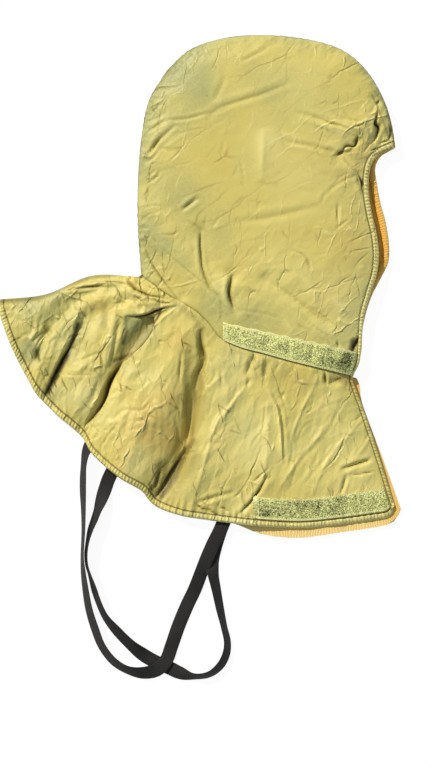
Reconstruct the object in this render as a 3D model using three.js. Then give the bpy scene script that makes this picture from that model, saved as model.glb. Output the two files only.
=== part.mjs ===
// Cold weather hood: a nylon hood with an orange lining, a shoulder cape, two closure tapes
// and two under-arm straps. It lies on its left side.
// Millimetres. X runs to the face, Y to the crown and Z up from the surface it lies on.
import * as THREE from 'three';

// Cloth walls and the gaps that sewn pieces keep
const SHELL_WALL = 2.0;
const LINING_WALL = 1.0;
const CLOTH_GAP = 0.5;
const CROWN_GAP = 0.5;
const NECK_GAP = 1.0;

// Heights of the lying hood
const CROWN_SEAM_HEIGHT = 13;
const DOME_HEIGHT = 36;
const NECK_SINK = 0.36;
const FACE_SINK = 0.52;
const SINK_REACH = 34;
const NEAR_ROLL = 26;
const FAR_ROLL = 16;

// Topstitched channel along the face edge and the hem
const CHANNEL_WIDTH = 9;
const CHANNEL_SWELL = 0.7;
const STITCH_DIP = 0.9;
const STITCH_REACH = 3;
const STITCH_MARGIN = 5;

// Closure tapes and straps
const TAPE_WIDTH = 25.4;
const TAPE_WALL = 1.6;
const TAPE_GAP = 0.5;
const TAPE_EDGE = 1.5;
const STRAP_WIDTH = 16;
const STRAP_WALL = 1.2;

// Outline of the hood panels
const BACK_SEAM = [
  { x: -69, y: 12 }, { x: -73, y: 71 }, { x: -73, y: 118 }, { x: -69, y: 172 },
  { x: -60, y: 216 }, { x: -40, y: 250 },
];
const TOP_SEAM = [
  { x: -40, y: 250 }, { x: -14, y: 274 }, { x: 25, y: 288 }, { x: 71, y: 292 }, { x: 129, y: 286 },
  { x: 167, y: 273 }, { x: 193, y: 250 }, { x: 213, y: 216 }, { x: 222, y: 187 }, { x: 226, y: 161 },
];
const NEAR_FACE = [
  { x: 177, y: -105 }, { x: 185, y: -90 }, { x: 188, y: -62 }, { x: 191, y: -33 }, { x: 198, y: -9 },
  { x: 206, y: 16 }, { x: 208, y: 38 }, { x: 205, y: 63 }, { x: 199, y: 90 }, { x: 196, y: 119 },
  { x: 200, y: 143 }, { x: 211, y: 154 }, { x: 226, y: 161 },
];
const FAR_FACE = [
  { x: 177, y: -105 }, { x: 186, y: -80 }, { x: 189, y: -45 }, { x: 198, y: -13 }, { x: 209, y: 9 },
  { x: 218, y: 28 }, { x: 219, y: 48 }, { x: 215, y: 75 }, { x: 209, y: 97 }, { x: 206, y: 119 },
  { x: 209, y: 136 }, { x: 216, y: 149 }, { x: 226, y: 161 },
];
const NECK = [
  { x: -69, y: 12 }, { x: -40, y: -9 }, { x: -12, y: -25 }, { x: 6, y: -37 }, { x: 23, y: -55 },
  { x: 45, y: -69 }, { x: 71, y: -77 }, { x: 107, y: -90 }, { x: 140, y: -98 }, { x: 177, y: -105 },
];

// Dents of the near panel, each a soft groove from one point to another
const HOOD_DENTS = [
  { name: 'behind_brim', x1: 204, y1: 212, x2: 200, y2: 168, width: 7, depth: 6 },
  { name: 'brow_pinch', x1: 158, y1: 150, x2: 182, y2: 170, width: 7, depth: 5 },
  { name: 'nape_fold', x1: -66, y1: 50, x2: -22, y2: -10, width: 9, depth: 4 },
  { name: 'jaw_fold', x1: 0, y1: 62, x2: 12, y2: 2, width: 8, depth: 4 },
  { name: 'collar_fold', x1: 37, y1: 12, x2: 40, y2: -28, width: 7, depth: 4 },
  { name: 'cheek_fold', x1: 76, y1: 8, x2: 146, y2: -44, width: 8, depth: 3 },
];

// Cape fold lines from the front edge round to the back edge. A line runs from the neck seam to
// the hem, bowed sideways at one third and two thirds of its way, with a height at each place.
const NEAR_FOLDS = [
  { name: 'front_edge', neckX: 177, bow1: 1, bow2: 1, hemX: 226, hemY: -254, z1: 16, z2: 15, hemZ: 14 },
  { name: 'front_stitch', neckX: 168, bow1: 0, bow2: 0, hemX: 217, hemY: -268, z1: 18, z2: 17, hemZ: 14 },
  { name: 'front_panel', neckX: 155, bow1: 0, bow2: 0, hemX: 198, hemY: -272, z1: 21, z2: 19, hemZ: 15 },
  { name: 'front_fold', neckX: 129, bow1: 0, bow2: 0, hemX: 161, hemY: -277, z1: 23, z2: 20, hemZ: 15 },
  { name: 'chest_front', neckX: 103, bow1: 0, bow2: 0, hemX: 121, hemY: -281, z1: 24, z2: 21, hemZ: 15 },
  { name: 'chest', neckX: 78, bow1: 0, bow2: 0, hemX: 82, hemY: -280, z1: 24, z2: 21, hemZ: 15 },
  { name: 'chest_side', neckX: 54, bow1: 0, bow2: 0, hemX: 43, hemY: -276, z1: 24, z2: 21, hemZ: 15 },
  { name: 'shoulder_front', neckX: 32, bow1: -1, bow2: -1, hemX: 5, hemY: -271, z1: 24, z2: 21, hemZ: 15 },
  { name: 'shoulder', neckX: 20, bow1: -1, bow2: -1, hemX: -24, hemY: -266, z1: 24, z2: 22, hemZ: 16 },
  { name: 'side_valley', neckX: 9, bow1: 7, bow2: 12, hemX: -53, hemY: -255, z1: 18, z2: 13, hemZ: 11 },
  { name: 'lobe_front', neckX: 3, bow1: 3, bow2: 10, hemX: -68, hemY: -238, z1: 22, z2: 21, hemZ: 18 },
  { name: 'lobe_ridge', neckX: -5, bow1: 0, bow2: 0, hemX: -96, hemY: -221, z1: 26, z2: 28, hemZ: 23 },
  { name: 'lobe_back', neckX: -18, bow1: -7, bow2: -9, hemX: -126, hemY: -195, z1: 26, z2: 25, hemZ: 20 },
  { name: 'deep_valley', neckX: -24, bow1: -17, bow2: -13, hemX: -138, hemY: -175, z1: 14, z2: 11, hemZ: 10 },
  { name: 'blade_front', neckX: -31, bow1: -20, bow2: -15, hemX: -152, hemY: -162, z1: 20, z2: 19, hemZ: 15 },
  { name: 'blade_ridge', neckX: -37, bow1: -26, bow2: -20, hemX: -167, hemY: -150, z1: 24, z2: 23, hemZ: 18 },
  { name: 'blade_dip', neckX: -44, bow1: -31, bow2: -28, hemX: -181, hemY: -136, z1: 17, z2: 13, hemZ: 11 },
  { name: 'back_ridge', neckX: -51, bow1: -32, bow2: -32, hemX: -195, hemY: -119, z1: 22, z2: 21, hemZ: 17 },
  { name: 'back_valley', neckX: -58, bow1: -30, bow2: -25, hemX: -206, hemY: -99, z1: 17, z2: 15, hemZ: 12 },
  { name: 'back_panel', neckX: -63, bow1: -21, bow2: -20, hemX: -223, hemY: -63, z1: 19, z2: 19, hemZ: 16 },
  { name: 'roll_top', neckX: -67, bow1: -12, bow2: -4.5, hemX: -235, hemY: -30, z1: 15, z2: 15, hemZ: 14 },
  { name: 'back_edge', neckX: -69, bow1: -13, bow2: -1, hemX: -236, hemY: -20, z1: 8, z2: 8, hemZ: 7.5 },
];

// Fold lines of the half of the cape that lies flat on the surface, from the back to the front
const FAR_FOLDS = [
  { name: 'roll_under', neckX: -67, bow1: -12, bow2: -5, hemX: -235, hemY: -31, z1: 1.5, z2: 1.5, hemZ: 1.5 },
  { name: 'far_back', neckX: -60, bow1: -12, bow2: -6, hemX: -226, hemY: -52, z1: 0, z2: 0, hemZ: 0 },
  { name: 'far_blade', neckX: -36, bow1: -18, bow2: -16, hemX: -195, hemY: -106, z1: 0, z2: 0, hemZ: 0 },
  { name: 'far_side', neckX: -8, bow1: -10, bow2: -9, hemX: -140, hemY: -167, z1: 0, z2: 0, hemZ: 0 },
  { name: 'far_lobe', neckX: 12, bow1: 0, bow2: 0, hemX: -82, hemY: -219, z1: 0, z2: 0, hemZ: 0 },
  { name: 'far_shoulder', neckX: 24, bow1: 0, bow2: 0, hemX: -36, hemY: -254, z1: 0, z2: 0, hemZ: 0 },
  { name: 'far_chest_side', neckX: 43, bow1: 0, bow2: 0, hemX: 32, hemY: -273, z1: 0, z2: 0, hemZ: 0 },
  { name: 'far_chest', neckX: 68, bow1: 0, bow2: 0, hemX: 72, hemY: -288, z1: 0, z2: 0, hemZ: 0 },
  { name: 'far_chest_front', neckX: 107, bow1: 0, bow2: 0, hemX: 115, hemY: -292, z1: 0, z2: 0, hemZ: 0 },
  { name: 'far_front_panel', neckX: 140, bow1: 0, bow2: 0, hemX: 161, hemY: -287, z1: 0, z2: 0, hemZ: 0 },
  { name: 'far_front_stitch', neckX: 168, bow1: 1, bow2: 2, hemX: 226, hemY: -279, z1: 0, z2: 0, hemZ: 0 },
  { name: 'far_front_edge', neckX: 177, bow1: 2, bow2: 3, hemX: 237, hemY: -264, z1: 0, z2: 0, hemZ: 0 },
];

// Routes of the straps, with the roll of the tape about its run, in degrees, and its lift
const STRAP_RIGHT_ROUTE = [
  { x: -119, y: -172, roll: 5, lift: 5.5 }, { x: -130, y: -186, roll: 12, lift: 5.5 },
  { x: -135, y: -200, roll: 35, lift: 2 }, { x: -137, y: -222, roll: 52, lift: 0 },
  { x: -137, y: -248, roll: 58, lift: 0 }, { x: -137, y: -271, roll: 62, lift: 0 },
  { x: -136, y: -293, roll: 52, lift: 0.3 }, { x: -136, y: -313, roll: 12, lift: 2.6 },
  { x: -136, y: -334, roll: 30, lift: 0.3 }, { x: -134, y: -364, roll: 55, lift: 0 },
  { x: -127, y: -387, roll: 52, lift: 0 }, { x: -119, y: -410, roll: 50, lift: 0 },
  { x: -105, y: -430, roll: 40, lift: 0 }, { x: -84, y: -442, roll: 40, lift: 0 },
  { x: -62, y: -449, roll: 20, lift: 1.4 }, { x: -47, y: -444, roll: 4, lift: 3.2 },
  { x: -37, y: -431, roll: 2, lift: 3.4 }, { x: -29, y: -410, roll: 2, lift: 0 },
  { x: -20, y: -386, roll: 2, lift: 0 }, { x: -9, y: -362, roll: 2, lift: 0.8 },
  { x: 0, y: -339, roll: 3, lift: 3.2 }, { x: 7, y: -319, roll: 3, lift: 3.6 },
  { x: 14, y: -302, roll: 2, lift: 4.2 }, { x: 22, y: -284, roll: 0, lift: 6.6 },
  { x: 29, y: -267, roll: 0, lift: 7 },
];
const STRAP_LEFT_ROUTE = [
  { x: -91, y: -206, roll: 0, lift: 4.8 }, { x: -102, y: -219, roll: 2, lift: 4.8 },
  { x: -108, y: -229, roll: 8, lift: 2 }, { x: -115, y: -246, roll: 32, lift: 0 },
  { x: -120, y: -261, roll: 50, lift: 0 }, { x: -125, y: -275, roll: 52, lift: 0 },
  { x: -130, y: -290, roll: 40, lift: 0 }, { x: -134, y: -305, roll: 12, lift: 0 },
  { x: -134, y: -320, roll: 4, lift: 0 }, { x: -129, y: -336, roll: 25, lift: 0 },
  { x: -124, y: -351, roll: 55, lift: 0 }, { x: -119, y: -367, roll: 60, lift: 0 },
  { x: -112, y: -384, roll: 56, lift: 0 }, { x: -101, y: -398, roll: 40, lift: 0 },
  { x: -88, y: -411, roll: 20, lift: 0 }, { x: -74, y: -424, roll: 10, lift: 0 },
  { x: -59, y: -435, roll: 2, lift: 0 }, { x: -45, y: -441, roll: 2, lift: 0 },
  { x: -30, y: -446, roll: 8, lift: 0 }, { x: -15, y: -453, roll: 46, lift: 0 },
  { x: 0, y: -455, roll: 58, lift: 0 }, { x: 13, y: -451, roll: 56, lift: 0 },
  { x: 22, y: -441, roll: 52, lift: 0 }, { x: 28, y: -428, roll: 56, lift: 0 },
  { x: 29, y: -415, roll: 60, lift: 0 }, { x: 26, y: -400, roll: 58, lift: 0 },
  { x: 22, y: -384, roll: 52, lift: 0 }, { x: 19, y: -369, roll: 36, lift: 0 },
  { x: 16, y: -353, roll: 12, lift: 0 }, { x: 13, y: -337, roll: 2, lift: 0 },
  { x: 12, y: -323, roll: 0, lift: 0 }, { x: 16, y: -306, roll: 0, lift: 1 },
  { x: 22, y: -286, roll: 0, lift: 4.2 }, { x: 29, y: -268, roll: 0, lift: 4.8 },
];

// Steps of the grids
const HOOD_STEPS_ALONG = 18;
const HOOD_STEPS_UP = 13;
const HOOD_CROWDING = 1.7;
const FAR_HOOD_STEPS_ALONG = 14;
const FAR_HOOD_STEPS_UP = 11;
const CAPE_ROWS = [0, 0.1, 0.24, 0.4, 0.56, 0.72, 0.85, 0.95, 0.975, 1];
const NEAR_STEPS_PER_FOLD = 2;
const TAPE_STEPS = 20;
const STRAP_STEPS = 64;
const SEAM_SAMPLES = 160;
const HALVINGS = 40;

const vector = ({ x, y, z = 0 }) => new THREE.Vector3(x, y, z);
const outline = rows => new THREE.CatmullRomCurve3(rows.map(vector), false, 'centripetal');
const steps = count => Array.from({ length: count + 1 }, (_, i) => i / count);

const backSeam = outline(BACK_SEAM);
const topSeam = outline(TOP_SEAM);
const neck = outline(NECK);
const nearFace = outline(NEAR_FACE);
const farFace = outline(FAR_FACE);

const sampled = curve => curve.getSpacedPoints(SEAM_SAMPLES);
const crownPoints = [...sampled(backSeam), ...sampled(topSeam)];
const neckPoints = sampled(neck);
const facePoints = sampled(nearFace);

function distanceTo(points, x, y) {
  const here = new THREE.Vector3(x, y, 0);
  const nearest = new THREE.Vector3();
  const segment = new THREE.Line3();
  let least = Infinity;
  for (let i = 1; i < points.length; i++) {
    segment.set(points[i - 1], points[i]).closestPointToPoint(here, true, nearest);
    least = Math.min(least, nearest.distanceTo(here));
  }
  return least;
}

// Share of full height that a cloth roll of a given reach has at a distance from its edge
function rollShare(distance, reach) {
  const left = Math.max(0, 1 - distance / reach);
  return Math.sqrt(1 - left * left);
}

function dentDepth(x, y) {
  const here = new THREE.Vector3(x, y, 0);
  const nearest = new THREE.Vector3();
  return HOOD_DENTS.reduce((sum, dent) => {
    const [start, end] = [new THREE.Vector3(dent.x1, dent.y1, 0), new THREE.Vector3(dent.x2, dent.y2, 0)];
    const off = new THREE.Line3(start, end).closestPointToPoint(here, true, nearest).distanceTo(here);
    return sum + dent.depth * Math.exp(-((off / dent.width) ** 2));
  }, 0);
}

// Swell and stitch groove of an edge channel at a distance from the edge
function channelRelief(distance) {
  const swell = distance < CHANNEL_WIDTH ? Math.sin(Math.PI * distance / CHANNEL_WIDTH) : 0;
  const groove = Math.exp(-(((distance - CHANNEL_WIDTH) / STITCH_REACH) ** 2));
  return CHANNEL_SWELL * swell - STITCH_DIP * groove;
}

function nearHeight(x, y, onSeam) {
  const fromSeam = onSeam ? 0 : distanceTo(crownPoints, x, y);
  const fromFace = distanceTo(facePoints, x, y);
  const neckShare = 1 - NECK_SINK * Math.exp(-distanceTo(neckPoints, x, y) / SINK_REACH);
  const faceShare = 1 - FACE_SINK * Math.exp(-fromFace / SINK_REACH);
  const seam = CROWN_SEAM_HEIGHT + CROWN_GAP / 2;
  const full = DOME_HEIGHT * neckShare * faceShare + channelRelief(fromFace) - dentDepth(x, y);
  return seam + (full - seam) * rollShare(fromSeam, NEAR_ROLL);
}

function farHeight(x, y, onSeam) {
  const fromSeam = onSeam ? 0 : distanceTo(crownPoints, x, y);
  return (CROWN_SEAM_HEIGHT - CROWN_GAP / 2) * (1 - rollShare(fromSeam, FAR_ROLL));
}

// Point of a hood panel: u runs along the neck from nape to throat, v from the neck to the crown
function hoodPoint(u, v, face, height) {
  const [low, high] = [neck.getPointAt(u), topSeam.getPointAt(u)];
  const [back, front] = [backSeam.getPointAt(v), face.getPointAt(v)];
  const [nape, throat] = [neck.getPointAt(0), neck.getPointAt(1)];
  const [bend, brim] = [topSeam.getPointAt(0), topSeam.getPointAt(1)];
  const p = low.multiplyScalar(1 - v).addScaledVector(high, v)
    .addScaledVector(back, 1 - u).addScaledVector(front, u)
    .addScaledVector(nape, -(1 - u) * (1 - v)).addScaledVector(throat, -u * (1 - v))
    .addScaledVector(bend, -(1 - u) * v).addScaledVector(brim, -u * v);
  return p.setZ(height(p.x, p.y, u === 0 || v === 1));
}

const nearHood = (u, v) => hoodPoint(u, v, nearFace, nearHeight);
const farHood = (u, v) => hoodPoint(u, v, farFace, farHeight);

// Direction across the neck seam, from the hood to the cape, at a share of the neck's length
function acrossNeck(share) {
  const along = neck.getTangentAt(share);
  return new THREE.Vector3(along.y, -along.x, 0);
}

// Direction of a row of points at one of them, halfway between its two neighbouring steps
function heading(row, i) {
  const before = row[i].clone().sub(row[Math.max(i - 1, 0)]).normalize();
  const after = row[Math.min(i + 1, row.length - 1)].clone().sub(row[i]).normalize();
  return before.add(after);
}

function normalsOf(grid) {
  return grid.map((column, i) => column.map((_, j) => {
    const across = heading(grid.map(other => other[j]), i);
    return across.cross(heading(column, j)).normalize();
  }));
}

// Turns a normal level at the crown seam, and along the seam at the neck
function settle(normal, level, across) {
  if (level) normal.setZ(0);
  if (across) normal.addScaledVector(across, -normal.dot(across));
  return normal.normalize();
}

function hoodSurface(us, vs, point) {
  const grid = us.map(u => vs.map(v => point(u, v)));
  const normals = normalsOf(grid);
  us.forEach((u, i) => vs.forEach((v, j) => {
    settle(normals[i][j], u === 0 || v === 1, v === 0 ? acrossNeck(u) : null);
  }));
  return { grid, normals };
}

// Closed wall between two depths below a surface
function wall({ grid, normals }, outerDepth, innerDepth) {
  const [wide, high] = [grid.length, grid[0].length];
  const position = [];
  for (const depth of [outerDepth, innerDepth]) {
    grid.forEach((column, i) => column.forEach((p, j) => {
      position.push(...p.clone().addScaledVector(normals[i][j], -depth).toArray());
    }));
  }
  const at = (i, j, layer) => layer * wide * high + i * high + j;
  const index = [];
  const quad = (a, b, c, d) => index.push(a, b, c, a, c, d);
  for (let i = 0; i < wide - 1; i++) {
    for (let j = 0; j < high - 1; j++) {
      quad(at(i, j, 0), at(i + 1, j, 0), at(i + 1, j + 1, 0), at(i, j + 1, 0));
      quad(at(i, j, 1), at(i, j + 1, 1), at(i + 1, j + 1, 1), at(i + 1, j, 1));
    }
    quad(at(i, 0, 1), at(i + 1, 0, 1), at(i + 1, 0, 0), at(i, 0, 0));
    quad(at(i, high - 1, 0), at(i + 1, high - 1, 0), at(i + 1, high - 1, 1), at(i, high - 1, 1));
  }
  for (let j = 0; j < high - 1; j++) {
    quad(at(0, j, 0), at(0, j + 1, 0), at(0, j + 1, 1), at(0, j, 1));
    quad(at(wide - 1, j, 1), at(wide - 1, j + 1, 1), at(wide - 1, j + 1, 0), at(wide - 1, j, 0));
  }
  return closedGeometry(position, index);
}

function closedGeometry(position, index) {
  const geometry = new THREE.BufferGeometry();
  geometry.setAttribute('position', new THREE.Float32BufferAttribute(position, 3));
  geometry.setIndex(index);
  geometry.computeVertexNormals();
  return geometry;
}

const shellOf = surface => wall(surface, 0, SHELL_WALL);
const liningOf = surface => wall(surface, SHELL_WALL + CLOTH_GAP, SHELL_WALL + CLOTH_GAP + LINING_WALL);

// Hood panels, with steps crowded towards the crown seam and at the face channel
const crowded = count => steps(count).map(share => share ** HOOD_CROWDING);
const panelDepth = nearFace.getPointAt(0.5).distanceTo(backSeam.getPointAt(0.5));
const channelShares = [1 - CHANNEL_WIDTH / panelDepth, 1 - CHANNEL_WIDTH / 2 / panelDepth, 1];
const lastPlainShare = 1 - (CHANNEL_WIDTH + STITCH_MARGIN) / panelDepth;
const alongHood = count => [...crowded(count).filter(u => u < lastPlainShare), ...channelShares];
const upHood = count => crowded(count).map(v => 1 - v).reverse();
const nearSurface = hoodSurface(alongHood(HOOD_STEPS_ALONG), upHood(HOOD_STEPS_UP), nearHood);
const farSurface = hoodSurface(alongHood(FAR_HOOD_STEPS_ALONG).reverse(), upHood(FAR_HOOD_STEPS_UP), farHood);

// Share of the neck's length at which it reaches an x
function neckShareAt(x) {
  let [low, high] = [0, 1];
  for (let i = 0; i < HALVINGS; i++) {
    const middle = (low + high) / 2;
    if (neck.getPointAt(middle).x < x) low = middle;
    else high = middle;
  }
  return (low + high) / 2;
}

// Cape fold line as a curve from the neck seam to the hem
function foldCurve(fold, height) {
  const share = neckShareAt(fold.neckX);
  const top = neck.getPointAt(share).addScaledVector(acrossNeck(share), NECK_GAP);
  top.z = height(top.x, top.y, fold.neckX <= NECK[0].x);
  const hem = new THREE.Vector3(fold.hemX, fold.hemY, fold.hemZ);
  const run = hem.clone().sub(top).setZ(0).normalize();
  const forward = new THREE.Vector3(-run.y, run.x, 0);
  const upper = top.clone().lerp(hem, 1 / 3).addScaledVector(forward, fold.bow1).setZ(fold.z1);
  const lower = top.clone().lerp(hem, 2 / 3).addScaledVector(forward, fold.bow2).setZ(fold.z2);
  return new THREE.CatmullRomCurve3([top, upper, lower, hem], false, 'catmullrom');
}

const foldCurves = [
  ...NEAR_FOLDS.map(fold => foldCurve(fold, nearHeight)),
  ...FAR_FOLDS.map(fold => foldCurve(fold, farHeight)),
];

// Point of the cape: u counts fold lines from the near front edge, v runs from the neck to the hem
const acrossCape = new Map();
function capePoint(u, v) {
  if (!acrossCape.has(v)) {
    const row = foldCurves.map(curve => curve.getPoint(v));
    acrossCape.set(v, new THREE.CatmullRomCurve3(row, false, 'catmullrom'));
  }
  return acrossCape.get(v).getPoint(u / (foldCurves.length - 1));
}

function capeSurface(us, vs) {
  const grid = us.map(u => vs.map(v => capePoint(u, v)));
  const normals = normalsOf(grid);
  grid.forEach((column, i) => {
    const neckRow = column[0];
    settle(normals[i][0], false, acrossNeck(neckShareAt(neckRow.x)));
    const length = neckRow.distanceTo(column[column.length - 1]);
    column.forEach((p, j) => {
      const relief = us[i] < NEAR_FOLDS.length - 2 ? channelRelief((1 - vs[j]) * length) : 0;
      p.addScaledVector(normals[i][j], relief);
    });
  });
  return { grid, normals };
}

const nearSpans = NEAR_FOLDS.length - 1;
const nearColumns = steps(nearSpans * NEAR_STEPS_PER_FOLD).map(share => share * nearSpans);
const farColumns = FAR_FOLDS.map((_, i) => nearSpans + 1 + i);
const cape = capeSurface([...nearColumns, ...farColumns], CAPE_ROWS);

// Tape lying on a surface, from the point at each share of its length and width
function tapeOn(point, wide) {
  const grid = steps(TAPE_STEPS).map(a => steps(wide).map(b => point(a, b)));
  return wall({ grid, normals: normalsOf(grid) }, -TAPE_GAP - TAPE_WALL, -TAPE_GAP);
}

const mix = THREE.MathUtils.lerp;

// Throat loop tape on the near panel, with its lower edge on the neck seam
const THROAT_TAPE = { backX: 27, frontX: 168 };
function throatTapePoint(a, b) {
  const u = neckShareAt(mix(THROAT_TAPE.backX, THROAT_TAPE.frontX, a));
  const sample = 0.1;
  const rise = nearHood(u, 0).sub(nearHood(u, sample)).setZ(0).dot(acrossNeck(u)) / sample;
  return nearHood(u, (TAPE_EDGE + TAPE_WIDTH * b) / rise);
}

// Hem loop tape on the near cape, above the hem channel, between two fold lines
const HEM_TAPE = { frontFold: 0.75, backFold: 5.55, below: 10 };
function hemTapePoint(a, b) {
  const u = mix(HEM_TAPE.backFold, HEM_TAPE.frontFold, a);
  const length = capePoint(u, 0).distanceTo(capePoint(u, 1));
  return capePoint(u, 1 - (HEM_TAPE.below + TAPE_WIDTH * b) / length);
}

// Hook halves: plain flat tapes on the lining of the half that lies on the surface
const LINING_TOP = SHELL_WALL + CLOTH_GAP + LINING_WALL;
function flatTape(backX, backY, frontX, frontY) {
  const length = Math.hypot(frontX - backX, frontY - backY);
  const geometry = new THREE.BoxGeometry(length, TAPE_WIDTH, TAPE_WALL);
  geometry.rotateZ(Math.atan2(frontY - backY, frontX - backX));
  const middle = LINING_TOP + TAPE_GAP + TAPE_WALL / 2;
  return geometry.translate((backX + frontX) / 2, (backY + frontY) / 2, middle);
}

// Strap: a flat tape swept along its route, rolled about its run and resting on its lower edge
function strapGeometry(route) {
  const path = outline(route);
  const turns = new THREE.CatmullRomCurve3(route.map(row => new THREE.Vector3(row.roll, row.lift, 0)));
  const position = [];
  const index = [];
  const quad = (a, b, c, d) => index.push(a, b, c, a, c, d);
  for (const share of steps(STRAP_STEPS)) {
    const along = path.getTangent(share);
    const side = new THREE.Vector3(-along.y, along.x, 0).normalize();
    const { x: rollDegrees, y: lift } = turns.getPoint(share);
    const roll = THREE.MathUtils.degToRad(Math.max(0, rollDegrees));
    const [cos, sin] = [Math.cos(roll), Math.sin(roll)];
    const across = side.clone().multiplyScalar(cos).setZ(sin).multiplyScalar(STRAP_WIDTH / 2);
    const through = side.clone().multiplyScalar(-sin).setZ(cos).multiplyScalar(STRAP_WALL / 2);
    const centre = path.getPoint(share).setZ(Math.max(0, lift) + across.z + through.z);
    for (const [w, t] of [[1, 1], [-1, 1], [-1, -1], [1, -1]]) {
      position.push(...centre.clone().addScaledVector(across, w).addScaledVector(through, t).toArray());
    }
  }
  for (let i = 0; i < STRAP_STEPS; i++) {
    for (let k = 0; k < 4; k++) {
      const next = (k + 1) % 4;
      quad(4 * i + k, 4 * i + next, 4 * i + 4 + next, 4 * i + 4 + k);
    }
  }
  const end = 4 * STRAP_STEPS;
  quad(3, 2, 1, 0);
  quad(end, end + 1, end + 2, end + 3);
  return closedGeometry(position, index);
}

const hood = new THREE.Group();
hood.name = 'cold_weather_hood';

function add(name, geometry, color, roughness) {
  const mesh = new THREE.Mesh(geometry, new THREE.MeshStandardMaterial({ color, roughness, metalness: 0 }));
  mesh.name = name;
  hood.add(mesh);
}

const SHELL_COLOR = 0xcbbb6c;
const LINING_COLOR = 0xe0a84e;
const LOOP_COLOR = 0xa9aa66;
const HOOK_COLOR = 0x8f8f5c;
const STRAP_COLOR = 0x2b2829;

add('hood_shell_right', shellOf(nearSurface), SHELL_COLOR, 0.55);
add('hood_shell_left', shellOf(farSurface), SHELL_COLOR, 0.55);
add('hood_lining_right', liningOf(nearSurface), LINING_COLOR, 0.6);
add('hood_lining_left', liningOf(farSurface), LINING_COLOR, 0.6);
add('cape_shell', shellOf(cape), SHELL_COLOR, 0.55);
add('cape_lining', liningOf(cape), LINING_COLOR, 0.6);
add('throat_loop_tape', tapeOn(throatTapePoint, 3), LOOP_COLOR, 0.95);
add('hem_loop_tape', tapeOn(hemTapePoint, 3), LOOP_COLOR, 0.95);
add('throat_hook_tape', flatTape(30, -42, 172, -84), HOOK_COLOR, 0.8);
add('hem_hook_tape', flatTape(72, -258, 218, -252), HOOK_COLOR, 0.8);
add('strap_right', strapGeometry(STRAP_RIGHT_ROUTE), STRAP_COLOR, 0.85);
add('strap_left', strapGeometry(STRAP_LEFT_ROUTE), STRAP_COLOR, 0.85);

export default hood;
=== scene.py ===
import math

import bpy
import numpy as np
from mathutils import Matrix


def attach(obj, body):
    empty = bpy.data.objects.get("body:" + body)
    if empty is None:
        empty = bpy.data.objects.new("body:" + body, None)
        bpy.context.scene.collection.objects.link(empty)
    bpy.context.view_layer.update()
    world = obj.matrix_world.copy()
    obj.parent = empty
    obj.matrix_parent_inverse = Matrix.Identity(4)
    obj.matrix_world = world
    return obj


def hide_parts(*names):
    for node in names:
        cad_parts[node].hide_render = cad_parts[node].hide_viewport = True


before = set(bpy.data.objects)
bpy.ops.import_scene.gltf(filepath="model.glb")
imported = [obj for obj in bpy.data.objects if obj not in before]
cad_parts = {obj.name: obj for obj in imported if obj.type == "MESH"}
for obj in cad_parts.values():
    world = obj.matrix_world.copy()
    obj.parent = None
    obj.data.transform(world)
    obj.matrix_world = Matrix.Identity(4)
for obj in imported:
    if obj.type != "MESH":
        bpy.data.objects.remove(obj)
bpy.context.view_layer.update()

# Camera, light and floor
# The hood lies on a pale lit table. The camera looks straight down on it, and a low sun-like
# key from the upper left rakes over the folds against a soft sky.
MM = 0.001
VIEW_HEIGHT = 0.891
VIEW_CENTRE = (0.0177, -0.1131)
VIEW_PLANE = 0.015
VIEW_END = 20.0
LENS = 150.0
SENSOR = 36.0
KEY_STRENGTH = 3.5
KEY_COLOUR = (1.0, 0.95, 0.86)
KEY_ANGLE = 1.6
KEY_ELEVATION = 38.0
KEY_AZIMUTH = 132.0
SKY_STRENGTH = 0.36
SKY_WARM = (1.0, 0.93, 0.78, 1)
SKY_COOL = (0.72, 0.95, 0.92, 1)
SKY_SPREAD = 0.7
COOL_SIDE = (0.75, -0.55, 0.2)
TABLE_REACH = 6.0
TABLE_DROP = -0.0004
TABLE_GLOW = 0.93
TABLE_MATT = 0.12

scene = bpy.context.scene
scene.view_settings.view_transform = "Standard"


def placed(name, data):
    """A new object of the scene."""
    made = bpy.data.objects.new(name, data)
    scene.collection.objects.link(made)
    return made


lens = bpy.data.cameras.new("camera")
lens.sensor_fit = "VERTICAL"
lens.sensor_height = SENSOR
lens.lens = LENS
lens.clip_end = VIEW_END
camera = placed("camera", lens)
camera.location = (*VIEW_CENTRE, VIEW_HEIGHT * LENS / SENSOR + VIEW_PLANE)
scene.camera = camera

key_light = bpy.data.lights.new("key", "SUN")
key_light.energy = KEY_STRENGTH
key_light.color = KEY_COLOUR
key_light.angle = math.radians(KEY_ANGLE)
key_turn = math.radians(KEY_AZIMUTH - 90) + math.pi
placed("key", key_light).rotation_euler = (math.radians(90 - KEY_ELEVATION), 0, key_turn)


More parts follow.
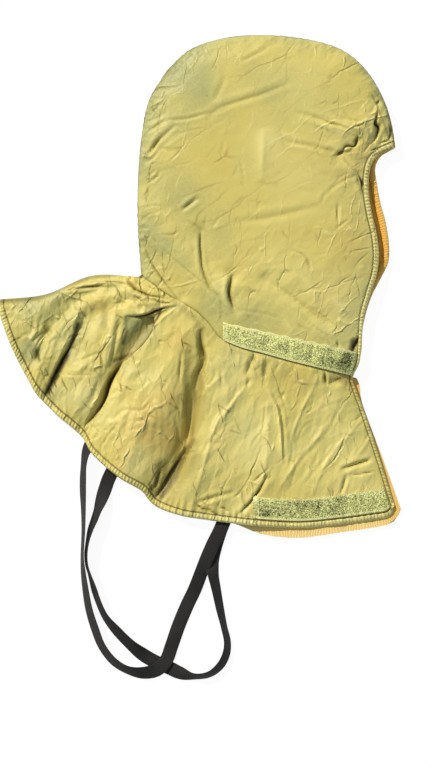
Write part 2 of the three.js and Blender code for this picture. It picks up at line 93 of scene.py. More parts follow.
class Value:
    """A socket of a node tree, so that maths on it reads as an expression and adds its nodes."""

    def __init__(self, tree, socket=None):
        self.tree = tree
        self.socket = socket

    def node(self, kind, settings=(), inputs=(), out=0):
        made = self.tree.nodes.new(kind)
        for name, setting in dict(settings).items():
            setattr(made, name, setting)
        for key, value in dict(inputs).items():
            if isinstance(value, Value):
                self.tree.links.new(value.socket, made.inputs[key])
            else:
                made.inputs[key].default_value = value
        return Value(self.tree, made.outputs[out] if made.outputs else None)

    def maths(self, operation, a, b=0.0):
        return self.node("ShaderNodeMath", {"operation": operation}, {0: a, 1: b})

    def __add__(self, other):
        return self.maths("ADD", self, other)

    def __sub__(self, other):
        return self.maths("SUBTRACT", self, other)

    def __rsub__(self, other):
        return self.maths("SUBTRACT", other, self)

    def __mul__(self, other):
        return self.maths("MULTIPLY", self, other)

    def __abs__(self):
        return self.maths("ABSOLUTE", self)

    __radd__ = __add__
    __rmul__ = __mul__

    def sine(self):
        return self.maths("SINE", self)

    def within(self, low=0.0, high=1.0):
        """This value brought to 0 at low and 1 at high, and kept between them."""
        return self.node("ShaderNodeMapRange", {}, {"Value": self, "From Min": low, "From Max": high})

    def between(self, colour, other):
        """A colour that goes from one to another as this value goes from 0 to 1."""
        return self.node("ShaderNodeMix", {"data_type": "RGBA"}, {0: self, 6: colour, 7: other}, out=2)

    def mark(self, name):
        """A mark that the mesh carries at its points."""
        return self.node("ShaderNodeAttribute", {"attribute_name": name}, out="Fac")

    def noise(self, scale, detail, settings=(), out=0, **more):
        """Soft uneven values about 0.5 at this place."""
        inputs = {"Vector": self, "Scale": scale, "Detail": detail, **more}
        return self.node("ShaderNodeTexNoise", settings, inputs, out)

    def bump(self, strength, distance, **under):
        """The surface's direction with this value as its relief."""
        inputs = {"Strength": strength, "Distance": distance, "Height": self, **under}
        return self.node("ShaderNodeBump", {}, inputs)


def opened(made):
    """A material or world with an empty tree, and a value to grow its nodes from."""
    made.use_nodes = True
    made.node_tree.nodes.clear()
    return made, Value(made.node_tree)


def sky_world():
    """A soft sky, warm behind the key light and cool and greenish opposite it."""
    made, start = opened(bpy.data.worlds.new("sky"))
    way = start.node("ShaderNodeTexCoord", out="Generated")
    dot = {"operation": "DOT_PRODUCT"}
    side = start.node("ShaderNodeVectorMath", dot, {0: way, 1: COOL_SIDE}, out="Value")
    colour = side.within(-SKY_SPREAD, SKY_SPREAD).between(SKY_WARM, SKY_COOL)
    light = start.node("ShaderNodeBackground", {}, {"Color": colour, "Strength": SKY_STRENGTH})
    start.node("ShaderNodeOutputWorld", {}, {"Surface": light})
    return made


def table_material():
    """White card that glows a little, so that only soft shadows show on it."""
    made, start = opened(bpy.data.materials.new("table_white"))
    glow = start.node("ShaderNodeEmission", {}, {"Color": (1, 1, 1, 1), "Strength": TABLE_GLOW})
    matt = start.node("ShaderNodeBsdfDiffuse", {}, {"Color": (TABLE_MATT, TABLE_MATT, TABLE_MATT, 1)})
    lit = start.node("ShaderNodeAddShader", {}, {0: glow, 1: matt})
    start.node("ShaderNodeOutputMaterial", {}, {"Surface": lit})
    return made


scene.world = sky_world()
table_mesh = bpy.data.meshes.new("table")
corners = [(-1, -1), (1, -1), (1, 1), (-1, 1)]
table_points = [(x * TABLE_REACH, y * TABLE_REACH, TABLE_DROP) for x, y in corners]
table_mesh.from_pydata(table_points, [], [(0, 1, 2, 3)])
table_mesh.materials.append(table_material())
table = placed("table", table_mesh)


# Under-arm straps Two loops of soft black woven tape, 16 mm wide, sewn at both ends into the hem
# of the cape. They lie loose and twisted on the table and cross each other.
STRAP_WIDTH = 16.0
STRAP_WALL = 1.2
STRAP_BULGE = 0.25
STRAP_STEPS = 260
STRAP_SIDES = 24
STRAP_EDGE_POWER = 0.55
STRAP_FACE_POWER = 0.4
STRAP_ROUGH = 0.82
SHARP_ANGLE = 50.0
LINE_STEPS = 40
LINE_EVENNESS = 0.5
FLIPPED = [0, 3, 2, 1]
STRAP_RIGHT_ROUTE = [
    # x, y, roll, lift
    (-119, -172, 5, 5.5), (-127, -182, 14, 5), (-133, -191, 48, 1.5), (-136, -206, 64, 0),
    (-137, -225, 62, 0), (-137, -240, 63, 0), (-136.5, -259, 69, 0), (-136.5, -283, 74, 0),
    (-137.3, -300, 76, 0), (-137.8, -315, 76, 0), (-136.5, -333, 68, 0), (-134, -352, 62, 0),
    (-130, -375, 57, 0), (-123, -398, 53, 0), (-115, -418, 54, 0), (-101, -436, 52, 0),
    (-84, -446, 50, 0), (-66, -449, 24, 1.4), (-50, -445, 4, 3.2), (-40, -434, 4, 3.4),
    (-34, -418, 8, 0.6), (-26, -395, 2, 0), (-16, -371, 0, 0), (-7, -352, 4, 0.8),
    (1, -331, 12, 3.2), (7, -316, 6, 3.6), (14, -300, 2, 4.2), (22, -284, 0, 6.6), (29, -267, 0, 7),
]
STRAP_LEFT_ROUTE = [
    # x, y, roll, lift
    (-91, -203, 0, 4.8), (-101, -212, 0, 4.8), (-107, -223, 3, 2.5), (-112, -237, 10, 0.3),
    (-116.5, -250, 34, 0), (-120, -260, 54, 0), (-123.5, -270, 59, 0), (-128.5, -283, 66, 0),
    (-132, -298, 75, 0), (-133.6, -313, 76, 0), (-132.3, -325, 77, 0), (-129.5, -334, 76, 0),
    (-124, -352, 64, 0), (-120, -364, 64, 0), (-111.5, -383, 60, 0), (-98, -400, 44, 0),
    (-80, -418, 34, 0), (-66, -429, 6, 0), (-52, -437, 2, 0), (-38, -443, 2, 0),
    (-25, -449, 14, 0), (-9, -453, 58, 0), (9, -451, 60, 0), (21.5, -442, 54, 0),
    (29, -429, 55, 0), (31, -414, 61, 0), (27, -395, 64, 0), (22.5, -375, 56, 0),
    (18, -352, 48, 0), (14.5, -335, 36, 0), (13, -322, 2, 0), (16, -306, 0, 1),
    (22, -286, 0, 4.2), (29, -268, 0, 4.8),
]


def run_along(points):
    """How far along a line each of its points is."""
    return np.concatenate([[0.0], np.cumsum(np.linalg.norm(np.diff(points, axis=0), axis=1))])


def through(points, places, evenness=0.0):
    """Rows of a smooth line through the given rows, at places counted in those rows. The first
    two columns are its position; evenness 0.5 keeps the line from overshooting."""
    rows = np.asarray(points, float)
    rows = np.vstack([2 * rows[:1] - rows[1:2], rows, 2 * rows[-1:] - rows[-2:-1]])
    gaps = np.linalg.norm(np.diff(rows[:, :2], axis=0), axis=1) ** evenness
    places = np.asarray(places, float)
    first = np.clip(places.astype(int), 0, len(rows) - 4)
    t = (places - first)[:, None]
    before, start, end, after = (rows[first + k] for k in range(4))
    gap_before, gap, gap_after = (gaps[first + k][:, None] for k in range(3))
    slope_start = ((start - before) / gap_before - (end - before) / (gap_before + gap)) * gap + end - start
    slope_end = ((after - end) / gap_after - (after - start) / (gap + gap_after)) * gap + end - start
    return (
        start * (2 * t**3 - 3 * t**2 + 1) + slope_start * (t**3 - 2 * t**2 + t)
        + end * (3 * t**2 - 2 * t**3) + slope_end * (t**3 - t**2)
    )


def smooth_line(points, count):
    """Evenly spaced rows along a smooth line through the given rows."""
    places = np.linspace(0, len(points) - 1, LINE_STEPS * len(points))
    fine = through(points, places, LINE_EVENNESS)
    run = run_along(fine[:, :2])
    wanted = np.linspace(0, run[-1], count)
    return np.stack([np.interp(wanted, run, column) for column in fine.T], axis=1)


def sheet_faces(index):
    """Faces between the points of a grid of point numbers."""
    around = index[:-1, :-1], index[1:, :-1], index[1:, 1:], index[:-1, 1:]
    return np.stack(around, -1).reshape(-1, 4)


def mesh_piece(name, points, faces, finish, uv=None, marks=()):
    """A piece from points in millimetres and faces, with optional UV places and vertex marks."""
    mesh = bpy.data.meshes.new(name)
    mesh.from_pydata((np.asarray(points) * MM).tolist(), [], [list(face) for face in faces])
    mesh.polygons.foreach_set("use_smooth", np.ones(len(mesh.polygons), bool))
    if uv is not None:
        corner_points = np.zeros(len(mesh.loops), int)
        mesh.loops.foreach_get("vertex_index", corner_points)
        layer = mesh.uv_layers.new(name="weave")
        layer.data.foreach_set("uv", np.asarray(uv)[corner_points].astype(np.float32).ravel())
    for mark, values in dict(marks).items():
        layer = mesh.attributes.new(mark, "FLOAT", "POINT")
        layer.data.foreach_set("value", np.asarray(values, np.float32).ravel())
    mesh.set_sharp_from_angle(angle=math.radians(SHARP_ANGLE))
    mesh.materials.append(finish)
    mesh.update()
    return placed(name, mesh)


def srgb(red, green, blue):
    """A screen colour from 0 to 255 as the light values that a shader takes."""
    parts = [part / 255 for part in (red, green, blue)]
    return (*[p / 12.92 if p <= 0.04045 else ((p + 0.055) / 1.055) ** 2.4 for p in parts], 1.0)


STRAP_BLACK = srgb(15, 13, 14)
STRAP_GREY = srgb(50, 46, 47)


def surfaced(made, start, inputs):
    """The material, closed with a surface of the given inputs."""
    shader = start.node("ShaderNodeBsdfPrincipled", {}, inputs)
    start.node("ShaderNodeOutputMaterial", {}, {"Surface": shader})
    return made


def strap_material():
    """Black twill tape, greyer where worn and, as a painted highlight, where its threads stand up."""
    made, start = opened(bpy.data.materials.new("strap_tape"))
    place = start.node("ShaderNodeUVMap", {"uv_map": "weave"})
    twill = {"Vector": place, "Scale": 260.0}
    picks = start.node("ShaderNodeTexWave", {"bands_direction": "DIAGONAL"}, twill, out="Fac")
    lift = picks * 0.6 + place.noise(900.0, 3.0) * 0.7
    worn = place.noise(45.0, 4.0)
    # Grey on the lifted threads is a painted highlight; the broad noise is the tape's own wear.
    colour = (lift * 0.55 + worn * 0.5).within(0.45, 1.05).between(STRAP_BLACK, STRAP_GREY)
    bump = lift.bump(0.5, 0.0004)
    return surfaced(made, start, {"Base Color": colour, "Roughness": STRAP_ROUGH, "Normal": bump})


def strap(name, route, finish):
    """A flat tape along a route, rolled about its middle line and lifted off the table."""
    rows = smooth_line(route, STRAP_STEPS)
    along = np.gradient(rows[:, :2], axis=0)
    along /= np.linalg.norm(along, axis=1)[:, None]
    roll = np.radians(np.maximum(rows[:, 2], 0))
    side = np.column_stack([-along[:, 1], along[:, 0], np.zeros(STRAP_STEPS)])
    up = np.array([0.0, 0.0, 1.0])
    across = side * np.cos(roll)[:, None] + up * np.sin(roll)[:, None]
    out = up * np.cos(roll)[:, None] - side * np.sin(roll)[:, None]
    height = np.maximum(rows[:, 3], 0) + np.sin(roll) * STRAP_WIDTH / 2 + np.cos(roll) * STRAP_WALL / 2
    middle = np.column_stack([rows[:, :2], height])
    turn = np.linspace(0, 2 * math.pi, STRAP_SIDES, endpoint=False)
    width = np.sign(np.cos(turn)) * np.abs(np.cos(turn)) ** STRAP_EDGE_POWER * STRAP_WIDTH / 2
    depth = np.sign(np.sin(turn)) * np.abs(np.sin(turn)) ** STRAP_FACE_POWER * STRAP_WALL / 2
    depth += STRAP_BULGE * (1 - (2 * width / STRAP_WIDTH) ** 2)
    points = (
        middle[:, None] + across[:, None] * width[None, :, None] + out[:, None] * depth[None, :, None]
    )
    index = np.arange(STRAP_STEPS * STRAP_SIDES).reshape(STRAP_STEPS, STRAP_SIDES)
    faces = sheet_faces(np.column_stack([index, index[:, 0]]))[:, FLIPPED].tolist()
    faces += [index[0, ::-1].tolist(), index[-1].tolist()]
    uv = np.stack(np.broadcast_arrays(width[None], run_along(middle)[:, None]), -1).reshape(-1, 2) * MM
    piece = mesh_piece(name + "_tape", points.reshape(-1, 3), faces, finish, uv)
    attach(piece, "root")
    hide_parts(name)


strap_finish = strap_material()
strap("strap_right", STRAP_RIGHT_ROUTE, strap_finish)
strap("strap_left", STRAP_LEFT_ROUTE, strap_finish)


# Hood shell
# Two mirror panels of thin gold-green nylon joined by a seam over the crown and down the back.
# The right panel lies uppermost, domed and creased, and its face edge is a topstitched channel.
SHELL_WALL = 2.0
CROWN_GAP = 0.5
CROWN_SEAM_HEIGHT = 13.0
DOME_HEIGHT = 36.0
DOME_REACH = 25.0
NECK_SINK = 0.2
NECK_REACH = 18.0
FACE_SINK = 0.58
FACE_REACH = 34.0
EDGE_ROLL = 7.0
EDGE_SHARE = 0.28
EDGE_RADIUS = 2.5
FAR_ROLL = 16.0
FAR_LIP = 3.6
FAR_LIP_REACH = 14.0
FAR_LIP_FROM_CROWN = 18.0
FAR_LIP_LOW = -105.0
FAR_LIP_RISE = 40.0
CHANNEL_WIDTH = 7.5
CHANNEL_SWELL = 0.7
STITCH_DIP = 0.8
STITCH_REACH = 1.0
THROAT_NARROWS = 0.6
THROAT_RUN = 130.0
TAPE_WIDTH = 25.4
TAPE_FLATTENS = 0.15
THROAT_TAPE_BACK = 25.0
THROAT_TAPE_FRONT = 174.0
THROAT_TAPE_MARGIN = 3.0
SEAM_POINTS = 160
BACK_SEAM = [(-69, 12), (-73, 71), (-73, 118), (-69, 172), (-60, 216), (-40, 250)]
TOP_SEAM = [
    (-40, 250), (-14, 274), (25, 288), (71, 292), (129, 286), (167, 273), (193, 250), (213, 216),
    (222, 187), (226, 161),
]
NEAR_FACE = [
    (177, -105), (185, -90), (188, -62), (191, -33), (198, -9), (206, 16), (208, 38), (205, 63),
    (199, 90), (196, 119), (200, 143), (211, 154), (226, 161),
]
FAR_FACE = [
    (177, -105), (186, -80), (189, -45), (198, -13), (209, 9), (218, 28), (219, 48), (215, 75),
    (209, 97), (205, 119), (203, 138), (209, 151), (226, 161),
]
NECK = [
    (-69, 12), (-40, -9), (-12, -25), (6, -40), (22, -60), (45, -71), (71, -78), (107, -88),
    (140, -96), (177, -105),
]
HOOD_DENTS = [
    # x1, y1, x2, y2, width, depth
    (204, 212, 200, 168, 7, 2.5), (158, 150, 182, 170, 7, 2.5), (-66, 50, -22, -10, 9, 4),
    (0, 62, 12, 2, 8, 2.5), (37, 12, 40, -28, 7, 2), (76, 8, 146, -44, 8, 3),
]
HOOD_CREASES = [
    # width, depth, and the points that the crease runs through; a negative depth is a ridge
    (2.5, 0.8, (46, 259), (78, 276)),
    (2.0, 0.5, (46, 259), (37, 270)),
    (3.5, 1.0, (104, 236), (73, 223), (18, 204), (4, 190)),
    (3.0, 0.7, (29, 243), (15, 212)),
    (2.0, 0.8, (14, 201), (-18, 193), (-40, 192)),
    (2.0, 1.2, (-40, 192), (-66, 176)),
    (2.5, 1.6, (-29, 187), (-57, 160), (-66, 143)),
    (4.0, -0.7, (-12, 179), (-43, 158)),
    (2.0, 0.9, (-62, 204), (-46, 212)),
    (6.0, -1.6, (73, 182), (70, 118)),
    (1.5, 0.6, (46, 148), (51, 115)),
    (1.5, 0.5, (28, 170), (23, 151)),
    (3.0, 1.3, (109, 200), (144, 190), (181, 173)),
    (3.0, -1.2, (136, 194), (182, 182)),
    (2.5, 0.9, (92, 168), (109, 165), (164, 154)),
    (3.0, -1.5, (178, 185), (195, 193)),
    (3.0, 1.0, (215, 202), (223, 185)),
    (1.8, -1.3, (208, 198), (219, 187)),
    (1.8, -1.3, (202, 210), (212, 200)),
    (2.0, -1.5, (144, 187), (166, 180), (181, 175)),
    (1.8, -1.0, (168, 148), (182, 132)),
    (1.6, 1.0, (115, -32), (131, -47), (157, -65)),
    (2.0, 1.5, (165, 148), (186, 126)),
    (2.5, 1.5, (180, 129), (192, 102)),
    (2.0, 0.8, (178, 129), (153, 114), (144, 104)),
    (2.5, 1.8, (-2, 103), (-22, 88)),
    (2.0, 1.0, (-16, 76), (4, 62)),
    (2.0, -0.6, (28, 72), (6, 64)),
    (1.5, 0.6, (7, 82), (4, 68)),
    (1.5, 0.6, (23, 82), (12, 66)),
    (2.2, 2.2, (-2, 62), (0, 46), (1, 26), (6, 10), (14, -6), (26, -16)),
    (3.0, 3.0, (37, 14), (33, -8), (39, -28)),
    (1.8, 2.0, (27, -26), (23, -40)),
    (1.2, 0.8, (-66, 52), (-57, 26), (-28, -12)),
    (1.5, 0.9, (-50, 48), (-16, 18), (14, -6)),
    (4.0, 0.9, (37, 74), (78, 79), (117, 88), (139, 95)),
    (2.0, 0.6, (139, 95), (145, 110)),
    (1.5, 0.8, (160, 96), (159, 70)),
    (1.5, 0.8, (172, 78), (153, 64)),
    (1.5, 1.2, (104, 42), (120, 34), (127, 20)),
    (2.0, -0.8, (79, 28), (93, 14)),
    (2.5, 1.2, (72, 10), (98, -8), (134, -35), (165, -56)),
    (3.0, -1.2, (108, 14), (126, 1), (137, -20)),
    (3.0, -1.0, (151, -12), (170, -32)),
    (1.5, 0.7, (40, -27), (73, -32), (100, -40)),
    (2.0, -1.2, (95, -35), (114, -62)),
    (1.2, 0.7, (159, 24), (165, 10)),
]
HOOD_FLAPS = [
    # reach, height, and the points of the lip, with the raised cloth on its left
    (10.0, 2.5, (150, 149), (160, 156), (172, 158), (184, 171)),
    (10.0, 2.5, (196, 166), (200, 186), (206, 216)),
    (10.0, 2.5, (6, 10), (1, 26), (0, 46), (-2, 64)),
    (12.0, 3.0, (39, -30), (32, -8), (37, 16)),
    (10.0, 1.8, (-64, 142), (-56, 160), (-28, 188)),
    (8.0, 0.9, (-24, 86), (0, 104)),
    (9.0, 1.5, (186, 126), (164, 149)),
    (12.0, 1.3, (182, 174), (144, 190), (108, 201)),
    (14.0, 0.9, (4, 190), (18, 204), (73, 223), (104, 236)),
    (14.0, 1.0, (166, -56), (134, -35), (98, -8), (72, 10)),
]
HOOD_SLITS = [
    # width, depth, and the points that the slit runs through
    (1.5, 3.0, (157, 151), (163, 156), (168, 162), (177, 162), (181, 166), (182, 175)),
    (2.0, 2.5, (157, 151), (166, 157)), (2.2, 3.0, (178, 162), (182, 174)),
    (2.2, 4.0, (205, 203), (202, 189), (206, 183), (200, 165)), (1.6, 2.5, (208, 216), (203, 210)),
    (1.7, 3.2, (219, 188), (221, 178), (218, 169)), (1.2, 2.2, (207, 165), (219, 170)),
    (1.2, 2.2, (197, 157), (207, 161)), (1.4, 2.2, (175, 184), (188, 187)),
    (1.2, 1.6, (142, 190), (166, 184)), (1.7, 3.2, (182, 131), (187, 122), (188, 112)),
    (1.0, 1.3, (153, 117), (160, 125), (174, 132)), (2.4, 4.0, (183, -57), (180, -67), (175, -78)),
    (1.4, 2.2, (157, -63), (161, -72)), (1.0, 1.4, (115, -17), (140, -34), (166, -55)),
    (1.0, 1.2, (146, -60), (151, -68)), (1.1, 2.2, (1, 66), (-1, 46), (1, 28)),
    (1.3, 2.6, (36, 14), (32, -6), (38, -26)), (1.1, 1.2, (-26, 84), (-4, 102)),
    (1.3, 2.0, (-62, 150), (-44, 176)), (1.3, 1.8, (158, 96), (158, 74)),
    (1.2, 1.6, (122, 34), (128, 18)), (1.2, 1.6, (-64, 92), (-60, 118)),
    (1.2, 1.5, (-70, 60), (-56, 26), (-30, -12)),
]
HOOD_SHADES = [
    # x1, y1, x2, y2, width, amount: painted shade in hollows and folds
    (216, 203, 223, 178, 3, 0.5), (222, 188, 225, 164, 3, 0.55), (196, 234, 216, 205, 2.5, 0.35),
    (177, -64, 175, -76, 6, 0.8), (202, 153, 222, 161, 2.5, 0.6), (198, 222, 209, 197, 2.2, 0.5),
    (209, 197, 204, 174, 2.6, 0.55), (210, 196, 219, 168, 2.2, 0.5), (209, 219, 218, 201, 2.0, 0.55),
    (218, 201, 222, 185, 2.4, 0.65), (222, 185, 223, 173, 2.4, 0.65), (224, 164, 225, 176, 3, 0.6),
    (160, 153, 166, 157, 2.5, 0.5), (179, 163, 182, 172, 2.5, 0.5), (203, 200, 203, 172, 2.5, 0.4),
    (-72, 130, -70, 168, 2, 0.4), (-56, 25, -41, 4, 1.1, 0.55), (-41, 4, -28, -13, 1.1, 0.55),
    (-23, 25, 10, -1, 1.0, 0.42), (10, -1, 26, -17, 1.0, 0.42),
]
HOOD_WRINKLES = [
    # x, y, reach across, reach up, count, heading, spread, length, width, depth
    (-60, 80, 8, 50, 12, 5, 25, 16, 1.6, 0.5),
    (-58, 170, 8, 50, 14, 32, 20, 20, 1.6, 0.9),
    (205, 180, 10, 30, 12, 60, 40, 20, 1.8, 0.9),
    (20, 150, 70, 80, 14, 35, 30, 30, 2.4, 0.22),
    (120, 60, 60, 80, 16, -40, 30, 28, 2.2, 0.25),
    (60, -10, 50, 30, 10, -35, 20, 26, 1.8, 0.35),
    (180, 60, 14, 90, 14, 20, 40, 12, 1.4, 0.4),
    (170, 190, 40, 30, 10, -20, 25, 24, 2.0, 0.4),
]


def beside(line, x, y):
    """How far each place is from a line, how far along the line that is, and on which side."""
    nearest = np.full(x.shape, 1e9)
    along = np.zeros(x.shape)
    side = np.zeros(x.shape)
    start = 0.0
    for (ax, ay), (bx, by) in zip(line[:-1], line[1:]):
        dx, dy = bx - ax, by - ay
        length = math.hypot(dx, dy)
        share = np.clip(((x - ax) * dx + (y - ay) * dy) / length**2, 0, 1)
        off = np.hypot(x - ax - share * dx, y - ay - share * dy)
        closer = off < nearest
        nearest = np.where(closer, off, nearest)
        along = np.where(closer, start + share * length, along)
        side = np.where(closer, np.sign(dx * (y - ay) - dy * (x - ax)), side)
        start += length
    return nearest, along, side


def bell(distance, reach):
    """1 at no distance, falling smoothly away past a reach."""
    return np.exp(-((distance / reach) ** 2))


back_seam = smooth_line(BACK_SEAM, SEAM_POINTS)
top_seam = smooth_line(TOP_SEAM, SEAM_POINTS)
crown_line = np.vstack([back_seam, top_seam[1:]])
neck_line = smooth_line(NECK, SEAM_POINTS)
near_face = smooth_line(NEAR_FACE, SEAM_POINTS)
far_face = smooth_line(FAR_FACE, SEAM_POINTS)


def roll_share(distance, reach):
    """Share of its full height that a cloth roll has at a distance from its edge."""
    return np.sqrt(1 - np.maximum(0, 1 - distance / reach) ** 2)


def edge_round(distance, radius):
    """Drop of a turned cloth edge towards its very end."""
    return radius * (roll_share(distance, radius) - 1)


def channel_relief(distance):
    """Swell and stitch groove of an edge channel at a distance from the edge."""
    swell = np.where(distance < CHANNEL_WIDTH, np.sin(math.pi * distance / CHANNEL_WIDTH), 0)
    return CHANNEL_SWELL * swell - STITCH_DIP * bell(distance - CHANNEL_WIDTH, STITCH_REACH)


def in_channel(distance, along):
    """Distance from the face edge, stretched towards the throat, where the channel is narrower."""
    return distance * (1 + THROAT_NARROWS * np.clip(1 - along / THROAT_RUN, 0, 1))


def near_height(x, y):
    """Height of the domed upper panel before its creases."""
    from_seam = beside(crown_line, x, y)[0]
    from_face, along, _ = beside(near_face, x, y)
    neck_share = 1 - NECK_SINK * np.exp(-beside(neck_line, x, y)[0] / NECK_REACH)
    face_share = 1 - FACE_SINK * np.exp(-from_face / FACE_REACH)
    full = DOME_HEIGHT * neck_share * face_share + channel_relief(in_channel(from_face, along))
    for x1, y1, x2, y2, width, depth in HOOD_DENTS:
        full = full - depth * bell(beside([(x1, y1), (x2, y2)], x, y)[0], width)
    seam = CROWN_SEAM_HEIGHT + CROWN_GAP / 2
    share = EDGE_SHARE * roll_share(from_seam, EDGE_ROLL)
    share = share + (1 - EDGE_SHARE) * (1 - np.exp(-from_seam / DOME_REACH))
    return seam + (full - seam) * share


def far_height(x, y):
    """Height of the lower panel, flat on the table and curled up to the crown seam."""
    from_seam = beside(crown_line, x, y)[0]
    return (CROWN_SEAM_HEIGHT - CROWN_GAP / 2) * (1 - roll_share(from_seam, FAR_ROLL))


def along_line(line, shares):
    """Points of an evenly spaced line at shares of its length."""
    places = np.asarray(shares) * (len(line) - 1)
    return np.stack([np.interp(places, np.arange(len(line)), column) for column in line.T], 1)


def hood_grid(us, vs, face, height):
    """Points of a hood panel: u runs along the neck from nape to throat, v from neck to crown."""
    low, high = along_line(neck_line, us)[:, None], along_line(top_seam, us)[:, None]
    back, front = along_line(back_seam, vs)[None], along_line(face, vs)[None]
    u, v = np.asarray(us)[:, None, None], np.asarray(vs)[None, :, None]
    plan = (
        low * (1 - v) + high * v + back * (1 - u) + front * u
        - neck_line[0] * (1 - u) * (1 - v) - neck_line[-1] * u * (1 - v)
        - top_seam[0] * (1 - u) * v - top_seam[-1] * u * v
    )
    return np.dstack([plan, height(plan[..., 0], plan[..., 1])])


def normals_of(grid):
    """Direction of the surface at each point of a grid."""
    across, up = np.gradient(grid, axis=0), np.gradient(grid, axis=1)
    normal = np.cross(across, up)
    return normal / np.maximum(np.linalg.norm(normal, axis=2, keepdims=True), 1e-9)


CREASE_STEPS = 14
CREASE_NARROW = 0.8
CREASE_DEEP = 1.35
CREASE_REACH = 8.0
CREASE_SHARP = 1.2
CREASE_FADE = 0.6
SHOULDER_HEIGHT = 0.35
SHOULDER_PLACE = 2.4
SHOULDER_WIDTH = 1.3
TENT_PEAK = 0.55
TENT_REACH = 2.5
FLAP_STEPS = 20
FLAP_REACH = 3.0
FLAP_LIP = 0.4
FLAP_LIMIT = 30.0
FLAP_FADE = 0.7
SLIT_STEPS = 24
SLIT_FADE = 0.8
SLIT_END = 0.35
SLIT_DARK_DEPTH = 4.0


def near_to(line, reach, x, y):
    """Whether each place is in the box round a line."""
    low, high = line.min(0) - reach, line.max(0) + reach
    return (x > low[0]) & (x < high[0]) & (y > low[1]) & (y < high[1])


def end_fade(line, along, power):
    """1 in the middle of a line's length, falling to 0 at its ends."""
    return np.sin(math.pi * np.clip(along / run_along(line)[-1], 0, 1)) ** power


def crease_relief(rows, x, y):
    """Height that creases take from the cloth, with the low shoulders that rise beside each."""
    relief = np.zeros(x.shape)
    for width, depth, *points in rows:
        line = smooth_line(points, CREASE_STEPS)
        width, depth = width * CREASE_NARROW, depth * CREASE_DEEP
        near = near_to(line, CREASE_REACH * width, x, y)
        off, along, _ = beside(line, x[near], y[near])
        shape = np.exp(-CREASE_SHARP * off / width)
        if depth > 0:
            shape -= SHOULDER_HEIGHT * bell(off - SHOULDER_PLACE * width, SHOULDER_WIDTH * width)
        else:
            shape = TENT_PEAK * shape + (1 - TENT_PEAK) * np.exp(-off / (TENT_REACH * width))
        relief[near] -= depth * end_fade(line, along, CREASE_FADE) * shape
    return relief


def flap_relief(rows, x, y):
    """Height of folds that lap over the cloth beside them: raised on the left of their line."""
    relief = np.zeros(x.shape)
    for reach, height, *points in rows:
        line = smooth_line(points, FLAP_STEPS)
        near = near_to(line, FLAP_REACH * reach, x, y)
        off, along, side = beside(line, x[near], y[near])
        lip = 1 / (1 + np.exp(-np.clip(side * off / FLAP_LIP, -FLAP_LIMIT, FLAP_LIMIT)))
        relief[near] += height * end_fade(line, along, FLAP_FADE) * lip * np.exp(-off / reach)
    return relief


def slit_share(rows, x, y):
    """How far down into the slits between folds each place is, in millimetres, and as painted shade from 0
    to 1.
    """
    relief, dark = np.zeros(x.shape), np.zeros(x.shape)
    for width, depth, *points in rows:
        line = smooth_line(points, SLIT_STEPS)
        off, along, _ = beside(line, x, y)
        fade = end_fade(line, along, SLIT_FADE)
        share = fade * bell(off, width * (SLIT_END + (1 - SLIT_END) * fade))
        relief -= depth * share
        dark = np.maximum(dark, share * min(1, depth / SLIT_DARK_DEPTH))
    return relief, dark


def shaded(dark, rows, x, y):
    """Painted shade of the cloth, with the shaded hollows of a table added."""
    for x1, y1, x2, y2, width, amount in rows:
        dark = np.maximum(dark, amount * bell(beside([(x1, y1), (x2, y2)], x, y)[0], width))
    return dark


WRINKLE_LENGTHS = (0.5, 1.5)
WRINKLE_BOW = 0.35
WRINKLE_WIDTHS = (0.6, 1.4)
WRINKLE_VALLEYS = 0.6
WRINKLE_DEPTHS = (0.4, 1.4)


def scattered(rows, seed):
    """Small creases strewn over areas of the cloth, as rows of the crease tables."""
    chance = np.random.default_rng(seed)
    made = []
    for x, y, across, up, count, heading, spread, length, width, depth in rows:
        for _ in range(count):
            middle = np.array([x + across * chance.uniform(-1, 1), y + up * chance.uniform(-1, 1)])
            turn = math.radians(heading + spread * chance.uniform(-1, 1))
            way = np.array([math.cos(turn), math.sin(turn)])
            half = length / 2 * chance.uniform(*WRINKLE_LENGTHS) * way
            bow = np.array([-half[1], half[0]]) * chance.uniform(-WRINKLE_BOW, WRINKLE_BOW)
            size = width * chance.uniform(*WRINKLE_WIDTHS)
            sign = 1 if chance.uniform() < WRINKLE_VALLEYS else -1
            deep = sign * depth * chance.uniform(*WRINKLE_DEPTHS)
            made.append((size, deep, middle - half, middle + bow, middle + half))
    return made


def pucker(along, wave):
    """Uneven gathers along a stitched edge, from -1 to 1."""
    phase = along / wave + 0.45 * np.sin(along / (2.9 * wave)) + 0.3 * np.sin(along / (1.3 * wave) + 2)
    strong = 0.6 + 0.35 * np.sin(along / (3.7 * wave) + 1) + 0.3 * np.sin(along / (1.9 * wave) + 4)
    return np.sin(2 * math.pi * phase) * np.maximum(strong, 0)


def wall_piece(name, outer, inner, finish, marks):
    """A closed wall of cloth between two grids of points."""
    front = np.arange(outer[..., 0].size).reshape(outer.shape[:2])
    back = front + front.size
    rims = [
        (back[:, 0], front[:, 0]), (front[:, -1], back[:, -1]), (front[0], back[0]), (back[-1], front[-1]),
    ]
    faces = [sheet_faces(front), sheet_faces(back)[:, FLIPPED]]
    faces += [sheet_faces(np.stack(rim, 1)) for rim in rims]
    points = np.concatenate([outer.reshape(-1, 3), inner.reshape(-1, 3)])
    both = {mark: np.tile(values.ravel(), 2) for mark, values in marks.items()}
    return mesh_piece(name, points, np.vstack(faces), finish, marks=both)


def smoothed(grid, times):
    """A grid of points evened out along both ways, with its edges kept."""
    grid = grid.copy()
    for _ in range(times):
        grid[1:-1] = (grid[:-2] + 2 * grid[1:-1] + grid[2:]) / 4
        grid[:, 1:-1] = (grid[:, :-2] + 2 * grid[:, 1:-1] + grid[:, 2:]) / 4
    return grid
